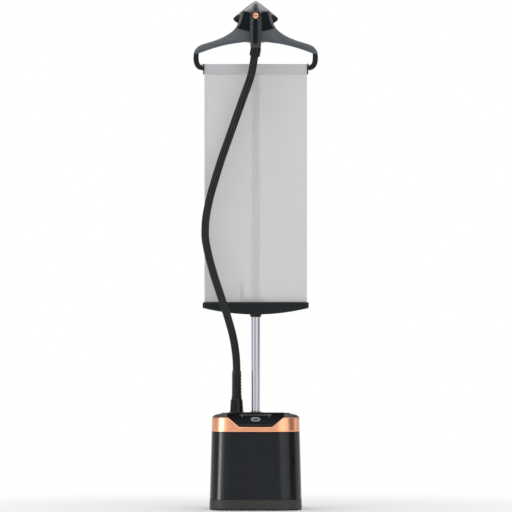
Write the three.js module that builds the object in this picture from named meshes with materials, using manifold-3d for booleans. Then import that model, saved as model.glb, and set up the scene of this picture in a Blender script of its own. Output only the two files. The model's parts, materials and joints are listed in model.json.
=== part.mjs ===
// Upright garment steamer: steam base, telescopic pole, clothes hanger, roll-up pressing board and handset.
// Millimetres, +Z up, front towards -Y. The origin is on the floor under the centre of the base.
import * as THREE from 'three';
import { mergeVertices } from 'three/addons/utils/BufferGeometryUtils.js';
import Module from 'manifold-3d';

const wasm = await Module();
wasm.setup();

// ---- Driving dimensions ----
const GAP = 0.3; // clearance between pieces that touch
const BASE = { halfWidth: 150, halfDepth: 145, radius: 72, lean: 9, leanHeight: 320, wall: 3 };
const SKIRT = { low: 3, high: 34 };
const BAND = { low: 254, high: 300, wall: 4 };
const TOP = { low: BAND.high + GAP, ridgeY: -80, ridgeZ: 316, fall: 1 / 18, island: 314.3 };
const SLOPE = { frontY: -139, frontZ: 271, backY: -86, backZ: 316.3 };
const DIP = { halfBottom: 54, halfTop: 92, low: 270, high: 302 };
const TANK = { halfWidth: 112, front: 62, low: 77, high: 300, wall: 3 };
const FILLER = { x: 45, y: 86, rim: 308.2 };
const BOILER = { x: -62, y: -72 };
const WHEEL = { radius: 25, width: 18, x: 105, y: 105, boreRadius: 3.3 };
const FOOT = { radius: 13, x: 92, y: -92, high: 7.7 };
const POLE = { outer: 14, inner: 12.9, low: 12, high: 1062 };
const INNER_POLE = { outer: 12, inner: 10.9, low: 941, high: 1363.5 };
const LOCK = { radius: 17.5, height: 21.5, lowerZ: 1050, upperZ: 1352.5 };
const CASE = { halfWidth: 172.3, front: -58, back: -20, high: 673, endZ: 653, midZ: 633 };
const ROLLER = { y: -45.3, z: 662.3, radius: 6.5, halfLength: 160 };
const BOARD = { y: -37, halfWidth: 166.5, thickness: 0.8, low: 667, barLow: 1414, barHigh: 1446 };
const HANGER = { front: -51, back: -23, hubHalf: 62 };
const HOOD_FRONT = -75;
const HEAD = { y: -34, z: 1594, tilt: THREE.MathUtils.degToRad(22), halfWidth: 73, up: 60, down: 50 };
const STEM = {
  low: 1310, plug: 10.6, seatZ: 1364, sleeve: 11.3,
  neck: 5.5, neckLow: 1446, neckHigh: 1512, high: 1532.5, taper: 6,
};
const HANDLE = { y: -96, low: 1504, high: 1618 };
const BUTTON = { radius: 10.4, z: 1601 };
const FITTING = { x: -62, y: 0, low: 314.6, high: 364, reliefHigh: 449.3 };
const CUFF_LEAN = THREE.MathUtils.degToRad(10);
const HOSE = { radius: 12.5, sides: 12, steps: 16 };

// Centreline of the hose from the ribbed relief on the base up to the cuff of the handset.
const LOWER_HOSE = [
  [-62, 0, 449.6], [-62, 0, 461], [-63.9, -4.6, 496], [-68, -17.9, 529], [-72.7, -38.5, 556],
  [-79, -59, 583], [-88, -72.4, 615], [-98.8, -77.5, 650], [-116, -80, 702], [-135, -82, 760],
  [-152, -83, 822], [-161.5, -83, 868], [-163.8, -83, 888], [-163.8, -83, 897.8],
];
const UPPER_HOSE = [
  [-163.8, -83, 898.1], [-163.8, -83, 908], [-161.2, -83, 947], [-148.6, -83, 1011], [-134.3, -83, 1062],
  [-113.6, -83, 1129], [-90.6, -83, 1195], [-65, -84, 1267], [-37.1, -88, 1345], [-15.6, -94, 1406],
  [-8.4, -96, 1441], [-4.4, -96, 1468],
];

// ---- Materials ----
function material(colour, roughness, metalness = 0, opacity = 1) {
  const transparent = opacity < 1;
  return new THREE.MeshStandardMaterial({ color: colour, roughness, metalness, opacity, transparent });
}
const looks = {
  bodyGloss: material(0x20242a, 0.18),
  panelSatin: material(0x1c1e21, 0.45),
  copper: material(0xd08458, 0.22, 1),
  skirt: material(0x44453f, 0.55),
  silver: material(0x9aa0a4, 0.3, 0.8),
  tube: material(0xd8dcdc, 0.12, 1),
  steel: material(0xa8abad, 0.35, 1),
  hanger: material(0x50565e, 0.5),
  black: material(0x16181a, 0.5),
  glossBlack: material(0x0e1012, 0.15),
  headGrey: material(0xa9abab, 0.35, 0.2),
  sole: material(0xc4c6c8, 0.25, 1),
  handleGrey: material(0x3c4044, 0.5),
  hose: material(0x191b1e, 0.85),
  rubber: material(0x141414, 0.8),
  board: material(0xc8c9cb, 0.9, 0, 0.6),
  tankClear: material(0x4a4e52, 0.1, 0, 0.5),
  circuit: material(0x1f5a3a, 0.6),
  white: material(0xd6d6d2, 0.5),
};

// ---- Solid helpers ----
function signedVolume(position, corners) {
  const [a, b, c] = [new THREE.Vector3(), new THREE.Vector3(), new THREE.Vector3()];
  let sum = 0;
  for (let i = 0; i < corners.length; i += 3) {
    a.fromBufferAttribute(position, corners[i]);
    b.fromBufferAttribute(position, corners[i + 1]);
    c.fromBufferAttribute(position, corners[i + 2]);
    sum += a.dot(b.cross(c));
  }
  return sum;
}

// A closed mesh of bare positions, with shared vertices merged and its faces pointing out.
function closed(geometry) {
  const bare = new THREE.BufferGeometry();
  bare.setAttribute('position', geometry.getAttribute('position'));
  bare.setIndex(geometry.index);
  const merged = mergeVertices(bare, 1e-3);
  const index = merged.index.array;
  const corners = [];
  for (let i = 0; i < index.length; i += 3) {
    const [a, b, c] = [index[i], index[i + 1], index[i + 2]];
    if (a !== b && b !== c && c !== a) corners.push(a, b, c);
  }
  if (signedVolume(merged.attributes.position, corners) < 0) corners.reverse();
  merged.setIndex(corners);
  return merged;
}

function toManifold(geometry) {
  const vertProperties = new Float32Array(geometry.attributes.position.array);
  const triVerts = new Uint32Array(geometry.index.array);
  return new wasm.Manifold(new wasm.Mesh({ numProp: 3, vertProperties, triVerts }));
}

function toGeometry(manifold) {
  const mesh = manifold.getMesh();
  const geometry = new THREE.BufferGeometry();
  geometry.setAttribute('position', new THREE.BufferAttribute(mesh.vertProperties, 3));
  geometry.setIndex(Array.from(mesh.triVerts));
  return geometry;
}

function combine(operation, first, others) {
  const result = others.reduce((solid, other) => solid[operation](toManifold(other)), toManifold(first));
  return toGeometry(result);
}
const cut = (first, ...others) => combine('subtract', first, others);
const join = (first, ...others) => combine('add', first, others);
const common = (first, ...others) => combine('intersect', first, others);

function moved(geometry, x, y, z) {
  return geometry.clone().translate(x, y, z);
}

function box(x0, x1, y0, y1, z0, z1) {
  const geometry = new THREE.BoxGeometry(x1 - x0, y1 - y0, z1 - z0);
  return closed(geometry.translate((x0 + x1) / 2, (y0 + y1) / 2, (z0 + z1) / 2));
}

// Turns an outline of [radius, z] pairs about the Z axis.
function turned(profile, segments = 20) {
  const points = profile.map(([radius, z]) => new THREE.Vector2(radius, z));
  return closed(new THREE.LatheGeometry(points, segments).rotateX(Math.PI / 2));
}

function disc(radius, z0, z1, segments = 20) {
  return turned([[0, z0], [radius, z0], [radius, z1], [0, z1]], segments);
}

function ring(inner, outer, z0, z1, segments = 20) {
  return turned([[inner, z0], [outer, z0], [outer, z1], [inner, z1], [inner, z0]], segments);
}

// Turns a shape made along Z so that it runs along +X or +Y.
const alongX = (geometry) => geometry.clone().rotateY(Math.PI / 2);
const alongY = (geometry) => geometry.clone().rotateX(-Math.PI / 2);

// A flat outline of [x, z] pairs with a thickness from y0 to y1 and, if asked, softened edges.
function plateXZ(outline, y0, y1, bevel = 0) {
  const shape = new THREE.Shape(outline.map(([x, z]) => new THREE.Vector2(x, z)));
  const geometry = new THREE.ExtrudeGeometry(shape, {
    depth: y1 - y0 - 2 * bevel,
    bevelEnabled: bevel > 0,
    bevelThickness: bevel,
    bevelSize: bevel,
    bevelOffset: -bevel,
    bevelSegments: 2,
  });
  return closed(geometry.rotateX(Math.PI / 2).translate(0, y1 - bevel, 0));
}

// A flat outline of [y, z] pairs with a thickness from x0 to x1.
function plateYZ(outline, x0, x1) {
  const shape = new THREE.Shape(outline.map(([y, z]) => new THREE.Vector2(y, z)));
  const geometry = new THREE.ExtrudeGeometry(shape, { depth: x1 - x0, bevelEnabled: false });
  const turn = new THREE.Matrix4().makeBasis(
    new THREE.Vector3(0, 1, 0), new THREE.Vector3(0, 0, 1), new THREE.Vector3(1, 0, 0));
  return closed(geometry.applyMatrix4(turn).translate(x0, 0, 0));
}

// A flat outline of [x, y] pairs with a thickness from z0 to z1.
function plateXY(outline, z0, z1) {
  const shape = new THREE.Shape(outline.map(([x, y]) => new THREE.Vector2(x, y)));
  const geometry = new THREE.ExtrudeGeometry(shape, { depth: z1 - z0, bevelEnabled: false });
  return closed(geometry.translate(0, 0, z0));
}

// A round bar or hose along a list of [x, y, z] points.
function sweep(route, radius, sides, steps) {
  const path = new THREE.CatmullRomCurve3(route.map((point) => new THREE.Vector3(...point)));
  const section = [];
  for (let i = 0; i < sides; i += 1) {
    const angle = (2 * Math.PI * i) / sides;
    section.push(new THREE.Vector2(radius * Math.cos(angle), radius * Math.sin(angle)));
  }
  const shape = new THREE.Shape(section);
  return closed(new THREE.ExtrudeGeometry(shape, { steps, extrudePath: path, bevelEnabled: false }));
}

// Skins a stack of rings that all have the same number of points, and closes both ends.
function loft(rings) {
  const count = rings[0].length;
  const positions = rings.flat().flatMap((point) => [point.x, point.y, point.z]);
  const index = [];
  for (let level = 0; level + 1 < rings.length; level += 1) {
    for (let i = 0; i < count; i += 1) {
      const a = level * count + i;
      const b = level * count + ((i + 1) % count);
      index.push(a, b, b + count, a, b + count, a + count);
    }
  }
  for (const level of [0, rings.length - 1]) {
    const middle = rings[level].reduce((sum, point) => sum.add(point), new THREE.Vector3());
    middle.divideScalar(count);
    const centre = positions.length / 3;
    positions.push(middle.x, middle.y, middle.z);
    for (let i = 0; i < count; i += 1) {
      const a = level * count + i;
      const b = level * count + ((i + 1) % count);
      if (level === 0) index.push(centre, b, a);
      else index.push(centre, a, b);
    }
  }
  const geometry = new THREE.BufferGeometry();
  geometry.setAttribute('position', new THREE.Float32BufferAttribute(positions, 3));
  geometry.setIndex(index);
  return closed(geometry);
}

// Outline of a rectangle with round corners, counter-clockwise, as [x, y] pairs.
function roundedRectangle(halfX, halfY, radius, steps = 5) {
  const outline = [];
  const corners = [[1, 1], [-1, 1], [-1, -1], [1, -1]];
  corners.forEach(([signX, signY], quarter) => {
    for (let i = 0; i <= steps; i += 1) {
      const angle = (Math.PI / 2) * (quarter + i / steps);
      const x = signX * (halfX - radius) + radius * Math.cos(angle);
      const y = signY * (halfY - radius) + radius * Math.sin(angle);
      outline.push([x, y]);
    }
  });
  return outline;
}

const level = (outline, z, shiftY = 0) => outline.map(([x, y]) => new THREE.Vector3(x, y + shiftY, z));

// ---- Object tree ----
const steamer = new THREE.Group();

function add(name, look, geometry) {
  const mesh = new THREE.Mesh(geometry, look);
  mesh.name = name;
  steamer.add(mesh);
}

function addPair(name, look, build) {
  add(`${name}_left`, look, build(-1));
  add(`${name}_right`, look, build(1));
}

const mirrored = (outline, side) => outline.map(([x, z]) => [side * x, z]);

// ---- Steam base ----
function baseOutline(z, inset) {
  const lean = (BASE.lean * z) / BASE.leanHeight + inset;
  return roundedRectangle(BASE.halfWidth - lean, BASE.halfDepth - lean, BASE.radius - inset);
}

function baseSolid(z0, z1, inset = 0) {
  return loft([level(baseOutline(z0, inset), z0), level(baseOutline(z1, inset), z1)]);
}

function baseShell(z0, z1, wall) {
  return cut(baseSolid(z0, z1), baseSolid(z0 - 1, z1 + 1, wall));
}

// The dip in the band's front, widened by a clearance, as a prism along Y.
function dipPrism(clearance, backY) {
  const outline = [
    [-DIP.halfBottom - clearance, DIP.low - clearance], [DIP.halfBottom + clearance, DIP.low - clearance],
    [DIP.halfTop + clearance, DIP.high], [DIP.halfTop + clearance, 340],
    [-DIP.halfTop - clearance, 340], [-DIP.halfTop - clearance, DIP.high],
  ];
  return plateXZ(outline, -200, backY);
}

const tankSpace = (clearance) => {
  const half = TANK.halfWidth + clearance;
  return box(-half, half, TANK.front - clearance, 200, TANK.low - 7, 400);
};

// Height of the top deck, which falls gently from its ridge behind the control slope to the rear.
const deckZ = (y) => TOP.ridgeZ - (y - TOP.ridgeY) * TOP.fall;

function crown() {
  const sections = [[TOP.low, 4.3], [303, 7], [308, 18], [312, 28], [318, 44]];
  const block = loft(sections.map(([z, inset]) => level(baseOutline(z, inset), z)));
  const above = [[-200, deckZ(-200)], [200, deckZ(200)], [200, 400], [-200, 400]];
  return cut(block, plateYZ(above, -200, 200));
}

const slopeAngle = Math.atan2(SLOPE.backZ - SLOPE.frontZ, SLOPE.backY - SLOPE.frontY);

// Places a shape made on the XY plane onto the control slope, at a height z on it.
function onSlope(geometry, z) {
  const along = (z - SLOPE.frontZ) / Math.tan(slopeAngle);
  return geometry.clone().rotateX(slopeAngle).translate(0, SLOPE.frontY + along, z);
}

const pill = (halfX, halfY, z0, z1) => plateXY(roundedRectangle(halfX, halfY, halfY, 5), z0, z1);
const BUTTON_Z = 294;
const SCALE_Z = 307;
const poleHole = disc(POLE.outer + GAP, 0, 400);
const steamHole = moved(disc(8, 250, 400), FITTING.x, FITTING.y, 0);

function buildCasing() {
  const wells = [-1, 1].map((side) => {
    const x = side * WHEEL.x;
    return box(x - 12, x + 12, WHEEL.y - 30, WHEEL.y + 30, 0, 20);
  });
  const axleHole = moved(alongX(disc(WHEEL.boreRadius, -150, 150, 16)), 0, WHEEL.y, WHEEL.radius);
  const brackets = [-82, 82].map((x) => box(x - 5, x + 5, WHEEL.y - 10, WHEEL.y + 10, 10, 33));
  const socket = ring(POLE.outer + GAP, 18, 10, 309);
  const boilerStand = moved(ring(37, 41, 10, 39.7), BOILER.x, BOILER.y, 0);
  const plate = join(baseSolid(8, 11, 4), ...brackets, socket, boilerStand);
  add('base_plate', looks.black, cut(plate, ...wells, axleHole));
  add('base_skirt', looks.skirt, baseShell(SKIRT.low, SKIRT.high, 3.5));
  const inletHole = moved(alongY(disc(9.3, 0, 60)), -45, 100, 50);
  const shell = baseShell(SKIRT.high + GAP, BAND.low - GAP, BASE.wall);
  add('body_shell', looks.bodyGloss, cut(shell, tankSpace(1), inletHole));
  const band = baseShell(BAND.low, BAND.high, BAND.wall);
  add('copper_band', looks.copper, cut(band, dipPrism(0, -60), tankSpace(1)));

  const hollow = cut(baseSolid(290, 302.5, 14), box(-106, 106, -200, SLOPE.backY + 16, 280, 320));
  const island = moved(plateXY(roundedRectangle(58, 27, 20), 308, TOP.island), -30, 0, 0);
  const holes = [poleHole, disc(18.4, 250, 309.4), steamHole];
  const topCuts = [dipPrism(GAP, SLOPE.backY + 10 + GAP), tankSpace(0.7), hollow, ...holes];
  add('top_panel', looks.panelSatin, cut(join(crown(), island), ...topCuts));
}

function buildConsole() {
  const { frontY, frontZ, backY, backZ } = SLOPE;
  const side = [[-150, BAND.low], [-150, 262], [frontY, frontZ], [backY, backZ], [backY + 10, deckZ(backY + 10)],
    [backY + 10, BAND.low]];
  const inner = [[-131, 240], [-131, 269], [backY + 2, backZ - 8], [backY + 6, backZ - 8], [backY + 6, 240]];
  const wedge = common(plateYZ(side, -120, 120), dipWedge(), baseSolid(250, 330, 4.6));
  const buttonHole = onSlope(pill(13.2, 7.7, -10, 10), BUTTON_Z);
  const bezelSeat = onSlope(pill(15.9, 10.4, -2, 10), BUTTON_Z);
  const scaleSeat = onSlope(pill(50.4, 3.9, -1.5, 10), SCALE_Z);
  add('control_panel', looks.panelSatin,
    cut(wedge, plateYZ(inner, -50, 50), buttonHole, bezelSeat, scaleSeat));
  add('button_bezel', looks.silver,
    onSlope(cut(pill(15.5, 10, -1.6, 0.8), pill(12.8, 7.3, -3, 3)), BUTTON_Z));
  add('power_button', looks.silver, onSlope(pill(12.3, 6.8, -4, 0.4), BUTTON_Z));
  add('scale_lens', looks.glossBlack, onSlope(pill(50, 3.5, -1.2, 0), SCALE_Z));
}

// The prism that fills the band's dip and the gap between the two halves of the top panel.
function dipWedge() {
  const outline = [
    [-DIP.halfBottom + GAP, BAND.low], [DIP.halfBottom - GAP, BAND.low], [DIP.halfBottom - GAP, DIP.low],
    [DIP.halfTop - GAP, DIP.high], [DIP.halfTop - GAP, 340], [-DIP.halfTop + GAP, 340],
    [-DIP.halfTop + GAP, DIP.high], [-DIP.halfBottom + GAP, DIP.low],
  ];
  return plateXZ(outline, -200, 0);
}

function buildTopFittings() {
  const { low, high } = FITTING;
  const fitting = [[5, low], [21.5, low], [21.5, low + 3], [20.6, low + 5], [19.2, high - 10], [16.5, high - 7],
    [16, high], [5, high], [5, low]];
  add('hose_connector', looks.black, moved(turned(fitting), FITTING.x, FITTING.y, 0));
  add('hose_relief', looks.rubber, moved(turned(reliefProfile()), FITTING.x, FITTING.y, 0));
}

// Strain relief: a smooth foot, a ribbed stretch that tapers a little and a plain lip at the hose.
function reliefProfile() {
  const low = FITTING.high + GAP;
  const high = FITTING.reliefHigh;
  return [[6, low], [16.8, low], [16.8, low + 4], [16.4, high - 80], [16, high - 13], [15, high - 12], [14.4, high],
    [6, high], [6, low]];
}

function buildRunningGear() {
  const footSolid = disc(FOOT.radius, 0, FOOT.high);
  addPair('foot', looks.rubber, (side) => moved(footSolid, side * FOOT.x, FOOT.y, 0));
  const { radius, width, x, y, boreRadius } = WHEEL;
  const half = width / 2;
  const wheelProfile = [[boreRadius, -half], [radius - 3, -half], [radius, -half + 3], [radius, half - 3],
    [radius - 3, half], [boreRadius, half], [boreRadius, -half]];
  const wheel = alongX(turned(wheelProfile, 24));
  addPair('wheel', looks.rubber, (side) => moved(wheel, side * x, y, radius));
  const axle = moved(alongX(disc(3.2, -118, 118, 16)), 0, y, radius);
  add('wheel_axle', looks.steel, axle);
}

function buildBoiler() {
  const { x, y } = BOILER;
  const drum = turned([[0, 40], [40, 40], [48, 48], [48, 162], [40, 172], [5, 175], [5, 173], [39, 170],
    [46, 161], [46, 49], [39, 42], [0, 42]]);
  add('boiler', looks.steel, moved(drum, x, y, 0));
  const element = [];
  for (let i = 0; i <= 10; i += 1) {
    const angle = 0.3 + (i / 10) * 5.7;
    element.push([x + 28 * Math.cos(angle), y + 28 * Math.sin(angle), 33]);
  }
  add('heating_element', looks.steel, sweep(element, 4, 8, 20));
  add('thermostat', looks.white, box(x + 48.3, x + 58, y - 9, y + 9, 95, 120));
  const steamRoute = [[x, y, 175.5], [x, y, 200], [x, y + 20, 222], [-62, -20, 232], [-62, 0, 250],
    [-62, 0, 314.2]];
  add('steam_tube', looks.white, sweep(steamRoute, 4.5, 10, 18));
}

function buildWaterFeed() {
  const motor = moved(alongX(disc(15, 0, 30)), 78, -70, 50);
  add('water_pump', looks.white, join(box(38, 80, -90, -50, 11.3, 70), motor));
  add('feed_tube', looks.white,
    sweep([[40, 92, 61.7], [40, 88, 50], [44, 60, 44], [54, 0, 44], [58, -30, 44], [58, -49.7, 44]], 4.5, 10, 14));
  add('pump_tube', looks.white,
    sweep([[50, -70, 70.3], [50, -70, 90], [40, -60, 140], [0, -40, 190], [-30, -50, 186], [-48, -62, 177.5]],
      3.5, 10, 16));
  add('control_board', looks.circuit, box(-40, 60, -124, -96, 232, 234));
  const gland = join(disc(12, 0, 0.7), disc(8.8, -18, 0.5));
  add('power_inlet', looks.black, moved(alongY(gland), -45, 144.2, 50));
}

// ---- Water tank ----
function buildTank() {
  const half = TANK.halfWidth;
  const floor = common(baseSolid(70, 73, 3.5), box(-half, half, 56, 200, 70, 73));
  const bay = join(floor, box(-half, half, 56, 59, 71, 296));
  const [seatX, seatY] = [40, 92];
  const seat = moved(disc(8.7, 62, 76.6), seatX, seatY, 0);
  add('tank_bay', looks.black, cut(join(bay, seat), moved(disc(4.8, 60, 80), seatX, seatY, 0)));

  const outer = common(baseSolid(TANK.low, TANK.high), tankSpace(0));
  const innerBox = box(-half + 3, half - 3, TANK.front + 3, 200, TANK.low + 3, 400);
  const inner = common(baseSolid(TANK.low + 3, 310, TANK.wall), innerBox);
  add('water_tank', looks.tankClear, cut(outer, inner));

  const { x, y, rim } = FILLER;
  const grips = [-1, 1].map((side) => box(side * 107 - 4, side * 107 + 4, 66, 92, 302, 311));
  const neck = moved(disc(21.5, 302, rim), x, y, 0);
  const fillerHole = moved(disc(16, 280, 400), x, y, 0);
  add('tank_lid', looks.panelSatin, cut(join(common(crown(), tankSpace(0)), ...grips, neck), fillerHole));
  const plug = moved(join(disc(15, rim - 3.7, rim + 1), disc(18.5, rim + GAP, rim + 3.1)), x, y, 0);
  const lug = box(x - 8, x + 8, y + 16, y + 21, rim + GAP, rim + 2.3);
  add('filler_cap', looks.silver, join(plug, lug));
}

// ---- Pole and locks ----
// A collar on the end of a tube and a flip lever behind it that turns on its own two stub pins.
function buildLock(prefix, z, tubeRadius, innerRadius) {
  const top = z + LOCK.height;
  const step = z + LOCK.height / 2 + 1.5;
  const collar = turned([[tubeRadius, z], [LOCK.radius, z], [LOCK.radius, top], [innerRadius, top],
    [innerRadius, step], [tubeRadius, step], [tubeRadius, z]]);
  const pinY = LOCK.radius + 3.5;
  const pinZ = top - 5;
  const hole = moved(alongX(disc(1.8, -30, 30, 12)), 0, pinY, pinZ);
  const ears = [-1, 1].map((side) => box(side * 9 - 1.5, side * 9 + 1.5, 14, pinY + 3, pinZ - 4, top));
  add(`${prefix}_collar`, looks.black, cut(join(collar, ...ears), hole));
  const lever = [[pinY - 3, pinZ - 4], [pinY + 2.5, pinZ - 4], [pinY + 3, pinZ], [pinY + 1.5, pinZ + 2.5],
    [pinY - 1, pinZ + 2.7]];
  const blade = [[pinY - 2.6, pinZ - 2], [pinY - 2.6, z - 8], [pinY + 1, z - 14], [pinY + 3, z - 14],
    [pinY + 2.5, pinZ - 2]];
  const trunnion = moved(alongX(disc(1.5, -11, 11, 12)), 0, pinY, pinZ);
  add(`${prefix}_lever`, looks.black, join(plateYZ(lever, -7, 7), plateYZ(blade, -7, 7), trunnion));
}

function buildPole() {
  add('lower_tube', looks.tube, ring(POLE.inner, POLE.outer, POLE.low, POLE.high, 32));
  add('upper_tube', looks.tube, ring(INNER_POLE.inner, INNER_POLE.outer, INNER_POLE.low, INNER_POLE.high, 32));
  buildLock('lower_lock', LOCK.lowerZ, POLE.outer + GAP, INNER_POLE.outer + 0.4);
  buildLock('upper_lock', LOCK.upperZ, INNER_POLE.outer + GAP, 11.6);
}

// ---- Roll-up pressing board ----
function caseOutline(halfWidth) {
  const { high, endZ, midZ } = CASE;
  const outline = [[halfWidth, high], [-halfWidth, high], [-halfWidth, endZ + 3]];
  const arcSteps = 12;
  for (let i = 0; i <= arcSteps; i += 1) {
    const share = (2 * i) / arcSteps - 1;
    outline.push([share * (halfWidth - 4), midZ + (endZ - midZ) * share * share]);
  }
  outline.push([halfWidth, endZ + 3]);
  return outline;
}

function buildBoard() {
  const { front, back, high } = CASE;
  const shell = plateXZ(caseOutline(166.4), front, back, 2.5);
  const chamber = box(-200, 200, front + 2.5, back - 2.5, ROLLER.z - 8.7, high - 2);
  const slot = box(-167.6, 167.6, BOARD.y - 2, BOARD.y + 2, high - 5, high + 5);
  add('roller_case', looks.black, cut(shell, chamber, slot));
  const endPlate = plateXZ(caseOutline(CASE.halfWidth), front, back, 2.5);
  addPair('case_end', looks.black, (side) => {
    const cap = common(endPlate, box(Math.min(166.7 * side, 200 * side), Math.max(166.7 * side, 200 * side),
      -80, 0, 600, 700));
    const pin = moved(alongX(disc(3.4, side > 0 ? 150 : -168, side > 0 ? 168 : -150, 16)), 0, ROLLER.y, ROLLER.z);
    return join(cap, pin);
  });
  const { y, z, radius, halfLength } = ROLLER;
  add('roller_tube', looks.tube, moved(alongX(ring(4, radius, -halfLength, halfLength)), 0, y, z));
  const fabric = box(-BOARD.halfWidth, BOARD.halfWidth, BOARD.y - BOARD.thickness / 2,
    BOARD.y + BOARD.thickness / 2, BOARD.low, BOARD.barLow - GAP);
  add('board_fabric', looks.board, fabric);
  const { barLow, barHigh } = BOARD;
  const bar = plateXZ([[-167, barLow], [167, barLow], [167, barHigh], [-167, barHigh]], BOARD.y - 4, BOARD.y + 4, 1.5);
  const peg = moved(alongX(disc(2, -173.4, 173.4, 12)), 0, BOARD.y, barHigh - 1.2);
  add('board_top_bar', looks.board, join(bar, peg));
}

function buildBracket() {
  const bore = disc(POLE.outer + GAP, 600, 800);
  const collar = turned([[10, 624.5], [17, 624.5], [18.5, 631], [18.5, 676], [10, 676], [10, 624.5]]);
  const backPlate = box(-30, 30, CASE.back + GAP, -14.8, 638, 687);
  const clamp = join(box(-51, 22, -15, 20, 669.5, 687), box(-51, -38.5, -8, 12, 686, 731), backPlate, collar);
  add('case_bracket', looks.black, cut(clamp, bore));
}

// ---- Clothes hanger ----
// Upper edge from the hub to the shoulder, then the lower edge back to the hub.
const ARM = [
  [62.3, 1560], [89.9, 1542.6], [109, 1531.5], [132, 1522.8], [158, 1515.3], [179.7, 1508.2],
  [190, 1502], [197.5, 1492], [201.5, 1480.3], [185, 1480.3], [165.4, 1488.1],
  [140.8, 1496.6], [109, 1504.7], [62.3, 1513.6],
];
const HOOK = [
  [185, 1480], [201.2, 1480], [202.4, 1466], [201.6, 1454], [198.5, 1443], [192, 1434], [184, 1428.5],
  [176, 1426], [167.6, 1426], [167.6, 1442], [174, 1442.6], [180, 1446], [184, 1453], [185.2, 1463],
];

// Front view of the hub: the hood's outer edge from its top corner down to where the arm begins.
const HOOD = [
  [43, 1618], [48.5, 1617], [52, 1604], [55, 1590], [58.5, 1577], [62, 1567], [62, 1513.7], [20, 1519.2],
];
// The gloss panel set into the hood. Its bottom edge is an arc.
const PANEL = [[39.5, 1615], [42.6, 1600], [47, 1584], [52.5, 1571], [59.5, 1561.5]];
const PANEL_ARC = { halfWidth: 59.5, midZ: 1549.5, rise: 12 };

const bothSides = (outline) => [...outline, ...mirrored(outline, -1).reverse()];

function buildHanger() {
  const { front, back, hubHalf } = HANGER;
  addPair('hanger_arm', looks.hanger, (side) => plateXZ(mirrored(ARM, side), front, back, 4));
  addPair('end_hook', looks.black, (side) => plateXZ(mirrored(HOOK, side), front + 2, back - 2, 3));
  const hood = plateXZ(bothSides(HOOD), HOOD_FRONT, HOOD_FRONT + 12, 3);
  const seat = plateXZ(bothSides(panelOutline(-GAP)), HOOD_FRONT - 5, HOOD_FRONT + 2);
  const block = box(-hubHalf, hubHalf, HOOD_FRONT + 8, back, 1515, 1545.8);
  const socket = box(-22, 22, -30, 16, 1519, 1542);
  add('hanger_hub', looks.hanger, cut(join(hood, block, socket), seat, disc(11.6, 1400, 1533)));
  add('hanger_stem', looks.black, turned(stemProfile()));
  add('cradle_panel', looks.glossBlack, plateXZ(bothSides(panelOutline(0)), HOOD_FRONT - 0.8, HOOD_FRONT + 1.7));
}

// The stem: a plug in the inner tube, a sleeve up to the board, a slim neck and a head in the hub.
function stemProfile() {
  const { low, plug, seatZ, sleeve, neck, neckLow, neckHigh, high, taper } = STEM;
  return [
    [0, low], [plug, low], [plug, seatZ], [sleeve, seatZ], [sleeve, neckLow - taper], [neck, neckLow],
    [neck, neckHigh], [sleeve, neckHigh + taper], [sleeve, high], [0, high],
  ];
}

// Right half of the gloss panel, shrunk by an inset. A negative inset gives the pocket it sits in.
function panelOutline(inset) {
  const outline = PANEL.map(([x, z], i) => [x - inset, i === 0 ? z - inset : z]);
  const { halfWidth, midZ, rise } = PANEL_ARC;
  for (const share of [0.75, 0.5, 0.25]) {
    outline.push([share * (halfWidth - inset), midZ + rise * share * share + inset]);
  }
  return outline;
}

// ---- Handset ----
// A point in the tilted plane of the head: across, up along the plane, and out from the sole.
function headPoint(across, up, out) {
  const { tilt, y, z } = HEAD;
  const dy = -up * Math.sin(tilt) + out * Math.cos(tilt);
  const dz = up * Math.cos(tilt) + out * Math.sin(tilt);
  return new THREE.Vector3(across, y + dy, z + dz);
}

// The head's kite outline with softened corners, shrunk evenly about its middle.
function kite(out, scale, shiftUp = 0) {
  const { halfWidth, up, down } = HEAD;
  const half = [[0, up], [3.5, up - 2], [38, up - 29], [halfWidth - 3, 3.5], [halfWidth, 0], [halfWidth - 2, -5],
    [50, -22], [27, -down + 6], [20, -down + 1], [12, -down], [0, -down]];
  const left = half.slice(1, -1).reverse().map(([x, v]) => [-x, v]);
  return [...half, ...left].map(([x, v]) => headPoint(x * scale, v * scale + shiftUp, out));
}

function buildHead() {
  add('soleplate', looks.sole, soleplate());
  add('head_rim', looks.black, loft([kite(3.7, 0.985), kite(1, 1), kite(-2, 1)]));
  add('head_cover', looks.headGrey, headCover());
}

function soleplate() {
  const plate = loft([kite(4, 0.97), kite(8, 0.97), kite(9.5, 0.94)]);
  const vents = [];
  for (let row = 0; row < 3; row += 1) {
    for (const side of [-1, 1]) {
      const centre = headPoint(side * (12 + row * 11), 26 - row * 18, 6);
      const hole = new THREE.CylinderGeometry(1.6, 1.6, 20, 8);
      hole.rotateX(HEAD.tilt).translate(centre.x, centre.y, centre.z);
      vents.push(closed(hole));
    }
  }
  return cut(plate, ...vents);
}

function headCover() {
  return loft([kite(-2.3, 0.99), kite(-6, 0.97), kite(-11, 0.82, 2), kite(-15, 0.55, 6), kite(-16.5, 0.3, 9)]);
}

function handleRing(z, halfX, halfY, centreY) {
  return level(roundedRectangle(halfX, halfY, Math.min(halfX, halfY) * 0.85, 5), z, centreY);
}

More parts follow.
